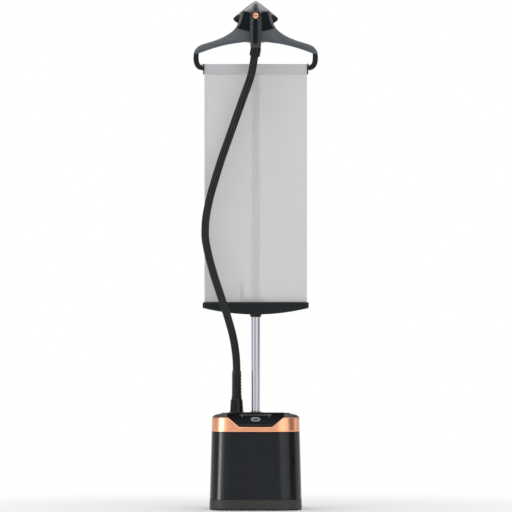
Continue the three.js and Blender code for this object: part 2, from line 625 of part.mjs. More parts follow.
function buildHandle() {
  const body = loft([
    handleRing(HANDLE.low, 16.5, 16, HANDLE.y), handleRing(1516, 17.6, 16.8, HANDLE.y),
    handleRing(1550, 18.2, 17.4, HANDLE.y), handleRing(1585, 18.8, 17.4, HANDLE.y),
    handleRing(1604, 16, 16.6, HANDLE.y), handleRing(HANDLE.high, 11, 15, HANDLE.y + 1),
  ]);
  const bore = moved(disc(4.5, 1400, 1700), 0, HANDLE.y, 0);
  const pocket = moved(alongY(disc(BUTTON.radius + 0.5, -20, 6)), 0, HANDLE.y - 16.6, BUTTON.z);
  const clearPocket = moved(alongY(disc(BUTTON.radius + 2.5, -20, 9)), 0, HANDLE.y - 16.6, BUTTON.z);
  addPair('handle_shell', looks.handleGrey, (side) => {
    const slabX = box(Math.min(side * 6.5, side * 40), Math.max(side * 6.5, side * 40), -150, -20, 1400, 1700);
    return cut(common(body, slabX), clearPocket);
  });
  const spine = common(body, box(-6.2, 6.2, -150, -20, 1400, 1700));
  const cup = common(moved(alongY(disc(BUTTON.radius + 2.2, -1, 8.5)), 0, HANDLE.y - 16.6, BUTTON.z), body);
  add('handle_inlay', looks.glossBlack, cut(join(spine, cup, neckSolid()), bore, pocket));
  add('steam_pipe', looks.white, moved(disc(4, 1504.3, 1612, 12), 0, HANDLE.y, 0));
  const cap = alongY(turned([[0, 0], [7.5, -0.9], [BUTTON.radius - 1, 0.4], [BUTTON.radius, 1.6], [BUTTON.radius, 4],
    [0, 4]]));
  add('steam_button', looks.copper, moved(cap, 0, HANDLE.y - 18.6, BUTTON.z));
}

// The neck rises from the handle, passes over the hood's top edge and meets the head's cover.
function neckSolid() {
  const neck = loft([
    handleRing(HANDLE.high + GAP, 10.6, 14.6, HANDLE.y + 1), handleRing(1625, 9.2, 13, HANDLE.y + 10),
    handleRing(1632, 8.4, 12, HANDLE.y + 18), handleRing(1639, 7.6, 10, HANDLE.y + 26),
  ]);
  const root = box(-6, 6, HANDLE.y - 11, HANDLE.y + 13, HANDLE.high - 6, HANDLE.high + 2);
  const clearance = 0.4;
  const backing = moved(headCover(), 0, -clearance * Math.cos(HEAD.tilt), -clearance * Math.sin(HEAD.tilt));
  return cut(join(neck, root), backing);
}

// The cuff leans so that it points down the hose.
function buildCuff() {
  const sleeve = turned([[12.9, 1473], [16.2, 1473], [17, 1480], [16.6, 1498], [15, 1503.7], [6, 1503.7], [6, 1500],
    [12.9, 1498], [12.9, 1473]]);
  const leaning = moved(sleeve, 0, 0, -1503.7).rotateY(CUFF_LEAN);
  add('handle_cuff', looks.black, moved(leaning, 1.5, HANDLE.y, 1500.4));
}

// ---- Hose ----
function buildHose() {
  add('hose_lower', looks.hose, sweep(LOWER_HOSE, HOSE.radius, HOSE.sides, HOSE.steps));
  add('hose_upper', looks.hose, sweep(UPPER_HOSE, HOSE.radius, HOSE.sides, HOSE.steps));
}

buildCasing();
buildConsole();
buildTopFittings();
buildRunningGear();
buildBoiler();
buildWaterFeed();
buildTank();
buildPole();
buildBoard();
buildBracket();
buildHanger();
buildHead();
buildHandle();
buildCuff();
buildHose();

export default steamer;
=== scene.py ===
"""Looks of an upright garment steamer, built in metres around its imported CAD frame."""
import json
import math

import bmesh
import bpy
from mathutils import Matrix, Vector

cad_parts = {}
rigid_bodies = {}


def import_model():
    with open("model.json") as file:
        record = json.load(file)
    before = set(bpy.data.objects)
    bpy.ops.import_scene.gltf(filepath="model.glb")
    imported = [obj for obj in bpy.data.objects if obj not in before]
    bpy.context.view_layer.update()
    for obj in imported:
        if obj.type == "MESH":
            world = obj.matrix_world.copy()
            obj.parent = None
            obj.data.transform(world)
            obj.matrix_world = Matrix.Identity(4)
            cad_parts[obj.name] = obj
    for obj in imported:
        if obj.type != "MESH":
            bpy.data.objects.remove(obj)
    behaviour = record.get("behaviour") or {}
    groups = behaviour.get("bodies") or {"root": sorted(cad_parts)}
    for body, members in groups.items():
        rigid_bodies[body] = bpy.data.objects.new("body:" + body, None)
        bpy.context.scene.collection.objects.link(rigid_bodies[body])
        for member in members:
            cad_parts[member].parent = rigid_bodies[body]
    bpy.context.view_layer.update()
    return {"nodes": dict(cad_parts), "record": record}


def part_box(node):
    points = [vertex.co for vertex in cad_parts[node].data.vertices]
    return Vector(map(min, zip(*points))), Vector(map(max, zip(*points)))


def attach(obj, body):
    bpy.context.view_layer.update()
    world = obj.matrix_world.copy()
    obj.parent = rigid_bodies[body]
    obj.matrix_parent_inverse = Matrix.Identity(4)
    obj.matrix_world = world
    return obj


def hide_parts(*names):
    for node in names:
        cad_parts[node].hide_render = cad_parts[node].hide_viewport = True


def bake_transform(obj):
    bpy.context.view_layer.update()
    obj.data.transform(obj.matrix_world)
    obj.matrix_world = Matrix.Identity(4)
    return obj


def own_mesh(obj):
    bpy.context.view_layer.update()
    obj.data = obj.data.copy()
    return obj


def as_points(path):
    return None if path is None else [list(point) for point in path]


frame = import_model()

# ---- Driving dimensions, in metres ----
BASE = {"half_x": 0.150, "half_y": 0.145, "radius": 0.072, "lean": 0.009 / 0.320}
WALL = 0.003
DIP = {"bottom": 0.054, "top": 0.092, "low": 0.270, "high": 0.302}
CORNER_STEPS = 14
POLE_HOLE, HOSE_HOLE, FILLER_HOLE = 0.0143, 0.008, 0.016
BUTTON_Z_ON_SLOPE, SCALE_Z_ON_SLOPE = 0.294, 0.307
TANK_HALF = 0.112
TANK_FRONT = 0.062
TANK_SILL = 0.070
RIDGE = {"y": -0.080, "z": 0.316, "fall": 1 / 18}
SLOPE = {"front_y": -0.139, "front_z": 0.271, "back_y": -0.086, "back_z": 0.3163}
FILLER = {"x": 0.045, "y": 0.086}
FITTING_X = -0.062
BOARD_Y = -0.037
HEAD = {"y": -0.034, "z": 1.594, "tilt": math.radians(22)}
HANDLE_Y = -0.096
BUTTON_Z = 1.601
HOSE_RADIUS = 0.0125

# Centreline of the hose from the ribbed relief on the base up to the cuff of the handset.
LOWER_HOSE = [
    (-0.062, 0, 0.4496), (-0.062, 0, 0.461), (-0.0639, -0.0046, 0.496), (-0.068, -0.0179, 0.529),
    (-0.0727, -0.0385, 0.556), (-0.079, -0.059, 0.583), (-0.088, -0.0724, 0.615), (-0.0988, -0.0775, 0.650),
    (-0.116, -0.080, 0.702), (-0.135, -0.082, 0.760), (-0.152, -0.083, 0.822), (-0.1615, -0.083, 0.868),
    (-0.1638, -0.083, 0.888), (-0.1638, -0.083, 0.898),
]
UPPER_HOSE = [
    (-0.1638, -0.083, 0.898), (-0.1638, -0.083, 0.908), (-0.1612, -0.083, 0.947), (-0.1486, -0.083, 1.011),
    (-0.1343, -0.083, 1.062), (-0.1136, -0.083, 1.129), (-0.0906, -0.083, 1.195), (-0.065, -0.084, 1.267),
    (-0.0371, -0.088, 1.345), (-0.0156, -0.094, 1.406), (-0.0084, -0.096, 1.441), (-0.0044, -0.096, 1.468),
    (-0.0028, -0.096, 1.478),
]


# ---- Materials ----
def add_node(tree, kind, inputs=(), **settings):
    """A node whose inputs are given as values, or as the sockets that feed them."""
    made = tree.nodes.new(kind)
    for name, value in settings.items():
        setattr(made, name, value)
    for name, value in dict(inputs).items():
        if isinstance(value, bpy.types.NodeSocket):
            tree.links.new(value, made.inputs[name])
        else:
            made.inputs[name].default_value = value
    return made


class Look:
    """A material: one Principled shader whose colour, roughness and bump come from procedural nodes."""

    def __init__(self, slot, roughness, **fixed):
        self.slot = slot
        self.material = bpy.data.materials.new(slot)
        self.material.use_nodes = True
        self.tree = self.material.node_tree
        self.shader = self.tree.nodes["Principled BSDF"]
        self.shader.inputs["Roughness"].default_value = roughness
        for name, value in fixed.items():
            self.shader.inputs[name.replace("_", " ")].default_value = value
        self.place = self.node("ShaderNodeTexCoord").outputs["Object"]
        self.normal = None

    def node(self, kind, inputs=(), **settings):
        return add_node(self.tree, kind, inputs, **settings)

    def stretched(self, scale):
        return self.node("ShaderNodeMapping", {"Vector": self.place, "Scale": scale}).outputs["Vector"]

    def noise(self, scale, detail=4, stretch=(1, 1, 1), roughness=0.55):
        inputs = {"Vector": self.stretched(stretch), "Scale": scale, "Detail": detail, "Roughness": roughness}
        return self.node("ShaderNodeTexNoise", inputs).outputs["Fac"]

    def cells(self, scale):
        return self.node("ShaderNodeTexVoronoi", {"Vector": self.place, "Scale": scale}).outputs["Distance"]

    def bands(self, scale, direction, distortion):
        inputs = {"Vector": self.place, "Scale": scale, "Distortion": distortion}
        return self.node("ShaderNodeTexWave", inputs, bands_direction=direction).outputs["Fac"]

    def attribute(self, name):
        return self.node("ShaderNodeAttribute", attribute_name=name).outputs["Fac"]

    def maths(self, operation, first, second):
        return self.node("ShaderNodeMath", {0: first, 1: second}, operation=operation).outputs[0]

    def span(self, factor, low, high, start=0.3, end=0.7):
        inputs = {"Value": factor, "From Min": start, "From Max": end, "To Min": low, "To Max": high}
        return self.node("ShaderNodeMapRange", inputs).outputs["Result"]

    def mix(self, factor, dark, light):
        inputs = {0: factor, 6: dark, 7: light}
        return self.node("ShaderNodeMix", inputs, data_type="RGBA").outputs[2]

    def colour(self, factor, dark, light):
        made = self.mix(self.span(factor, 0, 1), (*dark, 1), (*light, 1))
        self.tree.links.new(made, self.shader.inputs["Base Color"])
        return made

    def speckle(self, under, factor, colour):
        """Puts a second colour over the first where the factor is high."""
        made = self.mix(factor, under, (*colour, 1))
        self.tree.links.new(made, self.shader.inputs["Base Color"])
        return made

    def rough(self, factor, low, high):
        self.tree.links.new(self.span(factor, low, high), self.shader.inputs["Roughness"])

    def bump(self, height, strength, distance=0.0005):
        inputs = {"Height": height, "Strength": strength, "Distance": distance}
        made = self.node("ShaderNodeBump", inputs)
        if self.normal is not None:
            self.tree.links.new(self.normal, made.inputs["Normal"])
        self.normal = made.outputs["Normal"]
        self.tree.links.new(self.normal, self.shader.inputs["Normal"])

    def painted_edge_highlight(self, under, colour, start=0.53, end=0.62):
        """Lightens the convex edges: a painted highlight where the edges would catch the light."""
        pointiness = self.node("ShaderNodeNewGeometry").outputs["Pointiness"]
        return self.speckle(under, self.span(pointiness, 0, 0.5, start, end), colour)


def plastic(slot, dark, light, rough_low, rough_high, grain, grain_depth, **fixed):
    """Moulded plastic: faint colour drift, smudged gloss, a fine moulded grain and a painted highlight on the
    edges.
    """
    look = Look(slot, rough_low, **fixed)
    base = look.colour(look.noise(9, 5), dark, light)
    # Painted highlight: the convex edges get a lighter colour than the body.
    look.painted_edge_highlight(base, tuple(min(1, 1.8 * c + 0.01) for c in light))
    look.rough(look.noise(23, 6), rough_low, rough_high)
    look.bump(look.cells(grain), grain_depth, 0.0003)
    look.bump(look.noise(grain / 6, 3), grain_depth / 2, 0.0003)
    return look


def metal(slot, dark, light, rough_low, rough_high, stretch, depth, **fixed):
    """Metal or plated plastic: drawn lines along one direction, gloss that drifts and a painted highlight on
    the edges.
    """
    look = Look(slot, rough_low, Metallic=1.0, **fixed)
    lines = look.noise(40, 6, stretch, 0.7)
    base = look.colour(lines, dark, light)
    # Painted highlight: the convex edges get a slightly lighter colour.
    look.painted_edge_highlight(base, tuple(min(1, 1.15 * c) for c in light), 0.54, 0.66)
    look.rough(look.noise(14, 5), rough_low, rough_high)
    look.bump(lines, depth, 0.0002)
    return look


def hose_braid():
    look = Look("hose_braid", 0.8, Sheen_Weight=0.02, Sheen_Roughness=0.5, Specular_IOR_Level=0.05)
    relief = look.attribute("weave")
    base = look.colour(look.noise(260, 2), (0.002, 0.0024, 0.0028), (0.007, 0.0076, 0.0082))
    # Painted shade: the low valleys between the raised strands are darkened to near black.
    strands = look.mix(look.span(relief, 0, 1, 0.35, 1.0), (0.0006, 0.0006, 0.0007, 1), base)
    tracer = look.span(look.attribute("fleck"), 0, 0.9, 0.5, 0.95)
    look.speckle(strands, tracer, (0.20, 0.205, 0.20))
    look.rough(look.noise(90, 4), 0.7, 0.95)
    look.bump(look.noise(1500, 3, (1, 1, 0.4)), 0.5, 0.0004)
    return look


def board_mesh():
    look = Look("board_mesh", 0.85, Sheen_Weight=0.1, Specular_IOR_Level=0.2)
    warp = look.bands(560, "X", 0.4)
    weft = look.bands(560, "Z", 0.4)
    threads = look.maths("MAXIMUM", warp, weft)
    under = look.colour(look.noise(5, 3), (0.565, 0.567, 0.578), (0.595, 0.597, 0.607))
    look.speckle(under, look.span(threads, 0.10, 0, 0.2, 0.9), (0.40, 0.41, 0.42))
    look.tree.links.new(look.span(threads, 0.58, 0.76, 0.1, 0.8), look.shader.inputs["Alpha"])
    look.rough(look.noise(40, 4), 0.75, 0.92)
    look.bump(threads, 0.35, 0.0003)
    return look


def tank_smoke():
    look = Look("tank_smoke", 0.08, Transmission_Weight=0.82, IOR=1.46)
    base = look.colour(look.noise(6, 4), (0.10, 0.11, 0.125), (0.15, 0.16, 0.175))
    # Painted highlight: the tank's convex edges get a light grey colour.
    look.painted_edge_highlight(base, (0.35, 0.37, 0.39))
    look.rough(look.noise(30, 5), 0.05, 0.16)
    look.bump(look.noise(70, 3), 0.05, 0.0004)
    return look


def circuit_green():
    look = Look("circuit_green", 0.35)
    tracks = look.node("ShaderNodeTexBrick", {"Vector": look.place, "Scale": 160, "Mortar Size": 0.03})
    base = look.colour(look.noise(60, 4), (0.03, 0.16, 0.08), (0.05, 0.24, 0.12))
    look.speckle(base, look.span(tracks.outputs["Fac"], 0, 0.6, 0, 1), (0.5, 0.42, 0.2))
    look.rough(look.noise(50, 4), 0.3, 0.45)
    look.bump(tracks.outputs["Fac"], 0.4, 0.0003)
    return look


def hanger_plastic():
    """Satin slate with a faint drawn streak along the arms, and a painted highlight on its edges."""
    look = Look("hanger_plastic", 0.45, Specular_IOR_Level=0.4)
    base = look.colour(look.noise(16, 6, (0.35, 1, 1.6), 0.65), (0.048, 0.057, 0.067), (0.082, 0.095, 0.108))
    # Painted highlight: the convex edges get a much lighter slate colour.
    look.painted_edge_highlight(base, (0.2, 0.22, 0.24))
    look.rough(look.noise(25, 5), 0.40, 0.55)
    look.bump(look.cells(1500), 0.10, 0.0003)
    look.bump(look.noise(60, 5, (0.3, 1, 1.5)), 0.06, 0.0005)
    return look


def build_materials():
    black = {"Specular_IOR_Level": 0.26}
    looks = [
        plastic("body_gloss", (0.0006, 0.0020, 0.0042), (0.0016, 0.0036, 0.0064), 0.15, 0.22, 900, 0.02,
                Specular_IOR_Level=0.36),
        plastic("panel_satin", (0.004, 0.0052, 0.0058), (0.0065, 0.008, 0.009), 0.30, 0.42, 1800, 0.08,
                **black),
        metal("copper_trim", (0.98, 0.43, 0.25), (1.0, 0.47, 0.28), 0.22, 0.28, (1, 1, 0.2), 0.02),
        plastic("skirt_plastic", (0.024, 0.027, 0.023), (0.034, 0.037, 0.033), 0.38, 0.5, 1600, 0.12,
                **black),
        metal("silver_trim", (0.20, 0.215, 0.24), (0.28, 0.295, 0.32), 0.26, 0.36, (1, 1, 1), 0.05),
        metal("pole_metal", (0.45, 0.465, 0.51), (0.51, 0.525, 0.57), 0.12, 0.16, (3, 3, 0.03), 0.02),
        metal("inner_steel", (0.52, 0.53, 0.54), (0.66, 0.67, 0.68), 0.28, 0.42, (1, 1, 0.1), 0.2),
        hanger_plastic(),
        plastic("black_plastic", (0.002, 0.0040, 0.0050), (0.004, 0.0068, 0.0080), 0.32, 0.44, 1500, 0.10,
                Specular_IOR_Level=0.22),
        plastic("gloss_black", (0.0008, 0.0016, 0.002), (0.002, 0.0034, 0.004), 0.10, 0.17, 600, 0.015,
                Specular_IOR_Level=0.22),
        plastic("head_grey", (0.27, 0.275, 0.28), (0.36, 0.36, 0.37), 0.30, 0.42, 1500, 0.05, Metallic=0.3),
        metal("sole_metal", (0.58, 0.59, 0.60), (0.70, 0.71, 0.72), 0.22, 0.34, (0.15, 1, 1), 0.12),
        plastic("handle_grey", (0.022, 0.026, 0.029), (0.034, 0.039, 0.043), 0.30, 0.42, 1900, 0.15,
                Specular_IOR_Level=0.4),
        hose_braid(),
        plastic("rubber_black", (0.002, 0.0024, 0.0028), (0.005, 0.0056, 0.0062), 0.14, 0.24, 1300, 0.06,
                Specular_IOR_Level=0.26),
        board_mesh(),
        tank_smoke(),
        circuit_green(),
        plastic("white_plastic", (0.58, 0.58, 0.55), (0.68, 0.68, 0.65), 0.4, 0.55, 1200, 0.08),
    ]
    return {look.slot: look.material for look in looks}


materials = build_materials()


# ---- Mesh helpers ----
def add_to_scene(name, mesh):
    piece = bpy.data.objects.new(name, mesh)
    bpy.context.scene.collection.objects.link(piece)
    return piece


def tidy_mesh(mesh, angle):
    """Merges doubled points, faces the mesh outwards and shades it smooth up to an angle in degrees."""
    work = bmesh.new()
    work.from_mesh(mesh)
    bmesh.ops.remove_doubles(work, verts=work.verts, dist=2e-6)
    bmesh.ops.dissolve_degenerate(work, edges=work.edges, dist=1e-6)
    bmesh.ops.recalc_face_normals(work, faces=work.faces)
    work.to_mesh(mesh)
    work.free()
    mesh.shade_smooth()
    mesh.set_sharp_from_angle(angle=math.radians(angle))


def soften(piece, width, segments=3):
    """Rounds the sharp edges and keeps the flat faces flat in shading."""
    bevel = piece.modifiers.new("edges", "BEVEL")
    bevel.width = width
    bevel.segments = segments
    bevel.limit_method = "ANGLE"
    bevel.angle_limit = math.radians(38)
    flat = piece.modifiers.new("flat_faces", "WEIGHTED_NORMAL")
    flat.keep_sharp = True


def make(name, shape, slot, body, stands_for=(), edge=0.0, angle=35):
    """A new piece from (points, faces), with its material, its body and the CAD nodes that it stands for."""
    points, faces = shape
    mesh = bpy.data.meshes.new(name)
    mesh.from_pydata(points, [], faces)
    tidy_mesh(mesh, angle)
    mesh.materials.append(materials[slot])
    piece = add_to_scene(name, mesh)
    if edge:
        soften(piece, edge)
    if body:
        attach(piece, body)
    if stands_for:
        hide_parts(*stands_for)
    return piece


def merged(*shapes):
    points, faces = [], []
    for more_points, more_faces in shapes:
        start = len(points)
        points += [tuple(p) for p in more_points]
        faces += [tuple(i + start for i in face) for face in more_faces]
    return points, faces


def loft(rings, around=True, caps=True):
    """Skins a stack of rings that all have the same number of points."""
    count = len(rings[0])
    points = [tuple(p) for ring in rings for p in ring]
    faces = []
    for level in range(len(rings) - 1):
        for i in range(count if around else count - 1):
            a = level * count + i
            b = level * count + (i + 1) % count
            faces.append((a, b, b + count, a + count))
    if caps:
        faces.append(tuple(reversed(range(count))))
        faces.append(tuple(range((len(rings) - 1) * count, len(rings) * count)))
    return points, faces


def turned(profile, centre=(0, 0, 0), axis="Z", steps=48):
    """Turns (radius, height) pairs about an axis. The profile starts and ends on it, or closes on itself."""
    rings = []
    for i in range(steps):
        angle = 2 * math.pi * i / steps
        rings.append([upright(radius * math.cos(angle), radius * math.sin(angle), height, centre, axis)
                      for radius, height in profile])
    return loft(rings + rings[:1], around=False, caps=False)


def upright(a, b, height, centre, axis):
    """A point at (a, b) across an axis and at a height along it."""
    order = {"X": (height, a, b), "Y": (a, height, b), "Z": (a, b, height)}[axis]
    return tuple(c + o for c, o in zip(centre, order))


def rounded_profile(corners, radius, steps=4):
    """Rounds each corner of an open profile of pairs by about the same radius."""
    made = [corners[0]]
    for before, corner, after in zip(corners, corners[1:], corners[2:]):
        before, corner, after = Vector(before), Vector(corner), Vector(after)
        reach = min(radius, (before - corner).length * 0.45, (after - corner).length * 0.45)
        start = corner + (before - corner).normalized() * reach
        end = corner + (after - corner).normalized() * reach
        for i in range(steps + 1):
            t = i / steps
            made.append(tuple(start.lerp(corner, t).lerp(corner.lerp(end, t), t)))
    made.append(corners[-1])
    return made


def spline(points, per_span):
    """A smooth curve through the points (centripetal Catmull-Rom), with so many steps between two points."""
    route = [Vector(p) for p in points]
    route = [2 * route[0] - route[1], *route, 2 * route[-1] - route[-2]]
    made = []
    for p0, p1, p2, p3 in zip(route, route[1:], route[2:], route[3:]):
        t1 = max((p1 - p0).length, 1e-9) ** 0.5
        t2 = t1 + max((p2 - p1).length, 1e-9) ** 0.5
        t3 = t2 + max((p3 - p2).length, 1e-9) ** 0.5
        for i in range(per_span):
            t = t1 + (t2 - t1) * i / per_span
            a1 = p0.lerp(p1, t / t1)
            a2 = p1.lerp(p2, (t - t1) / (t2 - t1))
            a3 = p2.lerp(p3, (t - t2) / (t3 - t2))
            b1 = a1.lerp(a2, t / t2)
            b2 = a2.lerp(a3, (t - t1) / (t3 - t1))
            made.append(b1.lerp(b2, (t - t1) / (t2 - t1)))
    made.append(route[-2])
    return made


def smoothstep(low, high, value):
    t = min(1.0, max(0.0, (value - low) / (high - low)))
    return t * t * (3 - 2 * t)


def rectangle(half_x, half_y, radius, steps=8):
    """A rectangle with round corners, counter-clockwise, as (x, y) pairs."""
    made = []
    for quarter, (sign_x, sign_y) in enumerate([(1, 1), (-1, 1), (-1, -1), (1, -1)]):
        for i in range(steps + 1):
            angle = math.pi / 2 * (quarter + i / steps)
            made.append((sign_x * (half_x - radius) + radius * math.cos(angle),
                         sign_y * (half_y - radius) + radius * math.sin(angle)))
    return made


def level(outline, z, x=0.0, y=0.0):
    return [(px + x, py + y, z) for px, py in outline]


def block(x0, x1, y0, y1, z0, z1, radius, rim):
    """A box with upright edges of a radius and a rounded rim above and below."""
    cx, cy = (x0 + x1) / 2, (y0 + y1) / 2
    hx, hy = (x1 - x0) / 2, (y1 - y0) / 2
    rings = []
    for up in (0, 1):
        for i in range(5):
            angle = math.pi / 2 * (i / 4 if not up else 1 - i / 4)
            inset = rim * (1 - math.sin(angle))
            z = z0 + rim * (1 - math.cos(angle)) if not up else z1 - rim * (1 - math.cos(angle))
            rings.append(level(rectangle(hx - inset, hy - inset, max(radius - inset, 1e-4), 5), z, cx, cy))
    return loft(rings)


def plate(outline, y0, y1):
    """A flat plate from (x, z) pairs, as thick as y0 to y1."""
    return loft([[(x, y, z) for x, z in outline] for y in (y0, y1)])


def both_sides(half):
    return list(half) + [(-x, z) for x, z in reversed(half)]


def carve(piece, cutter_shape, operation="DIFFERENCE"):
    """Cuts one mesh with another for good, and removes the cutter."""
    mesh = bpy.data.meshes.new("cutter")
    mesh.from_pydata(cutter_shape[0], [], cutter_shape[1])
    tidy_mesh(mesh, 30)
    cutter = add_to_scene("cutter", mesh)
    tool = piece.modifiers.new("cut", "BOOLEAN")
    tool.operation = operation
    tool.object = cutter
    tool.solver = "EXACT"
    seen = piece.evaluated_get(bpy.context.evaluated_depsgraph_get())
    result = bpy.data.meshes.new_from_object(seen)
    piece.modifiers.clear()
    piece.data = result
    tidy_mesh(result, 30)
    bpy.data.objects.remove(cutter)
    return piece


# ---- Steam base ----
def base_point(station, z, inset=0.0):
    """A point on the leaning casing. The station is 0 at the middle of the rear and grows through +X to 4."""
    lean = BASE["lean"] * z + inset
    half_x, half_y = BASE["half_x"] - lean, BASE["half_y"] - lean
    radius = BASE["radius"] - inset
    side, share = int(station) % 4, station % 1.0
    flat_x, flat_y = half_x - radius, half_y - radius
    angle = share * math.pi / 2
    turn = [(1, 1), (1, -1), (-1, -1), (-1, 1)][side]
    sine, cosine = math.sin(angle), math.cos(angle)
    if side % 2 == 0:
        across, away = sine, cosine
    else:
        across, away = cosine, sine
    return Vector((turn[0] * (flat_x + radius * across), turn[1] * (flat_y + radius * away), z))


def base_outline(z, inset):
    """The casing's outline at a height, clockwise seen from above from the middle of the rear."""
    made = []
    for side in range(4):
        made += [base_point(side + i / CORNER_STEPS, z, inset) for i in range(CORNER_STEPS)]
        made.append(base_point(side + 0.99999, z, inset))
    return made


def rear_station(x, z):
    """The station on the rear right corner that has this x."""
    lean = BASE["lean"] * z
    flat_x = BASE["half_x"] - lean - BASE["radius"]
    return math.asin((x - flat_x) / BASE["radius"]) / (math.pi / 2)


def shell_stations(specials):
    """Stations round the casing, with the special ones among them."""
    made = {round(side + i / CORNER_STEPS, 6) for side in range(4) for i in range(CORNER_STEPS)}
    for special in specials:
        made = {s for s in made if abs(s - special) > 0.4 / CORNER_STEPS or s == int(s)}
        made.add(round(special, 6))
    return sorted(made)


def shell_wall(station_list, row_height, rows, keep):
    """An open skin round the casing: each station has rows of points up to its own height."""
    points, faces = [], []
    for side_x, station in station_list:
        for row in range(rows + 1):
            z = row_height(side_x, station, row)
            point = base_point(station, z)
            if side_x is not None:
                point.x = side_x
            points.append(point)
    count = len(station_list)
    for i in range(count):
        j = (i + 1) % count
        for row in range(rows):
            face = (i * (rows + 1) + row, j * (rows + 1) + row, j * (rows + 1) + row + 1,
                    i * (rows + 1) + row + 1)
            middle = sum((points[k] for k in face), Vector()) / 4
            if keep(middle):
                faces.append(face)
    return points, faces


def shell_stops(flat_xs, specials):
    """Pairs of (x or None, station). The flat front and rear have an x, elsewhere it follows the arc."""
    made = []
    for side in range(4):
        arcs = [s for s in shell_stations(specials) if side <= s < side + 1]
        made += [(None, s) for s in arcs]
        made.append((None, side + 0.999999))
        if side == 1:
            made += [(x, 2.0) for x in sorted(flat_xs, reverse=True)]
        if side == 3:
            made += [(x, 0.0) for x in sorted(flat_xs)]
    return made


def thicken(piece, wall, edge, segments=3, even=True):
    """Gives an open skin its wall, inwards, and rounds its rims."""
    solid = piece.modifiers.new("wall", "SOLIDIFY")
    solid.thickness = wall
    solid.offset = -1
    solid.use_even_offset = even
    soften(piece, edge, segments)


def in_tank_bay(point):
    return abs(point.x) < TANK_HALF + 0.001 and point.y > TANK_FRONT and point.z > TANK_SILL


def build_casing():
    skirt_low, skirt_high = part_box("base_skirt")
    shell_low, shell_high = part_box("body_shell")
    notch = rear_station(TANK_HALF + 0.001, 0.16)
    specials = [notch, 4 - notch]
    flat_xs = [0.015 * i for i in range(-4, 5)]
    stops = shell_stops(flat_xs, specials)

    def rows_between(low, high, count, shelf=None):
        heights = [low + (high - low) * i / count for i in range(count + 1)]
        if shelf is not None:
            nearest = min(range(1, count), key=lambda i: abs(heights[i] - shelf))
            heights[nearest] = shelf
        return lambda _x, _station, row: heights[row]

    skirt = make("skirt_ring", shell_wall(stops, rows_between(skirt_low.z, skirt_high.z, 4), 4,
                                          lambda p: True), "skirt_plastic", "base", ["base_skirt"])
    thicken(skirt, 0.0035, 0.0022, 4)
    casing_rows = rows_between(shell_low.z, shell_high.z, 16, TANK_SILL)
    casing = make("body_casing", shell_wall(stops, casing_rows, 16, lambda p: not in_tank_bay(p)),
                  "body_gloss", "base", ["body_shell"])
    thicken(casing, WALL, 0.0008)


def dip_half(z):
    """Half the width of the dip in the band at a height."""
    share = (z - DIP["low"]) / (DIP["high"] - DIP["low"])
    return DIP["bottom"] + (DIP["top"] - DIP["bottom"]) * min(1.0, max(0.0, share))


def build_copper_band():
    low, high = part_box("copper_band")

    def top_at(x, y):
        """Height of the band's upper edge: level all round, and dipping across the front."""
        if y > 0:
            return high.z
        share = (abs(x) - DIP["bottom"]) / (DIP["top"] - DIP["bottom"])
        return min(high.z, DIP["low"] + (DIP["high"] - DIP["low"]) * max(0.0, share))

    def height(side_x, station, row):
        z = high.z
        for _ in range(4):
            point = base_point(station, z)
            z = top_at(point.x if side_x is None else side_x, point.y)
        return low.z + (z - low.z) * row / 6

    top_x = DIP["top"] - (DIP["high"] - high.z) * (DIP["top"] - DIP["bottom"]) / (DIP["high"] - DIP["low"])
    flat_top = BASE["half_x"] - BASE["lean"] * high.z - BASE["radius"]
    corner = math.acos((top_x - flat_top) / BASE["radius"]) / (math.pi / 2)
    notch = rear_station(TANK_HALF + 0.001, 0.28)
    flat_xs = [s * x for s in (-1, 1) for x in (0.0001, 0.018, 0.036, DIP["bottom"], 0.061)]
    stops = shell_stops(flat_xs, [notch, 4 - notch, 1 + corner, 3 - corner])
    band = make("copper_trim_band", shell_wall(stops, height, 6, lambda p: not in_tank_bay(p)),
                "copper_trim", "base", ["copper_band"])
    thicken(band, 0.004, 0.0018)


def deck_z(y):
    return RIDGE["z"] - (y - RIDGE["y"]) * RIDGE["fall"]


CROWN = [(0.0043, 0.3003), (0.0052, 0.3022), (0.0075, 0.3040), (0.012, 0.3060), (0.018, 0.3082),
         (0.024, 0.3105), (0.030, 0.3128), (0.036, 0.3150), (0.042, 0.3170), (0.050, 0.3190)]


def crown_solid():
    """The closed block under the top deck: soft shoulders that run into the falling deck."""
    softness = 0.0018
    rings = []
    for inset, z in CROWN:
        ring = base_outline(z, inset)
        for point in ring:
            gap = deck_z(point.y) - point.z
            point.z -= softness * math.log1p(math.exp(-gap / softness)) if gap > -0.05 else -gap
        rings.append(ring)
    return loft(rings)


def dip_prism(clearance, front, back):
    """The prism along Y that fills the dip and the space between the shoulders."""
    half = [(DIP["bottom"] + clearance, DIP["low"] - clearance), (DIP["top"] + clearance, DIP["high"]),
            (DIP["top"] + clearance, 0.360)]
    return plate(both_sides(half), front, back)


def tank_box(clearance):
    half = TANK_HALF + clearance
    return plate([(half, 0.2), (half, 0.4), (-half, 0.4), (-half, 0.2)], TANK_FRONT - clearance, 0.2)


def bore(piece, radius, x, y=0.0):
    """Cuts an upright hole right through the deck."""
    carve(piece, turned([(0, 0.29), (radius, 0.29), (radius, 0.33), (0, 0.33)], (x, y, 0)))


def bore_for_pole_and_hose(piece):
    bore(piece, POLE_HOLE, 0)
    bore(piece, HOSE_HOLE, FITTING_X)


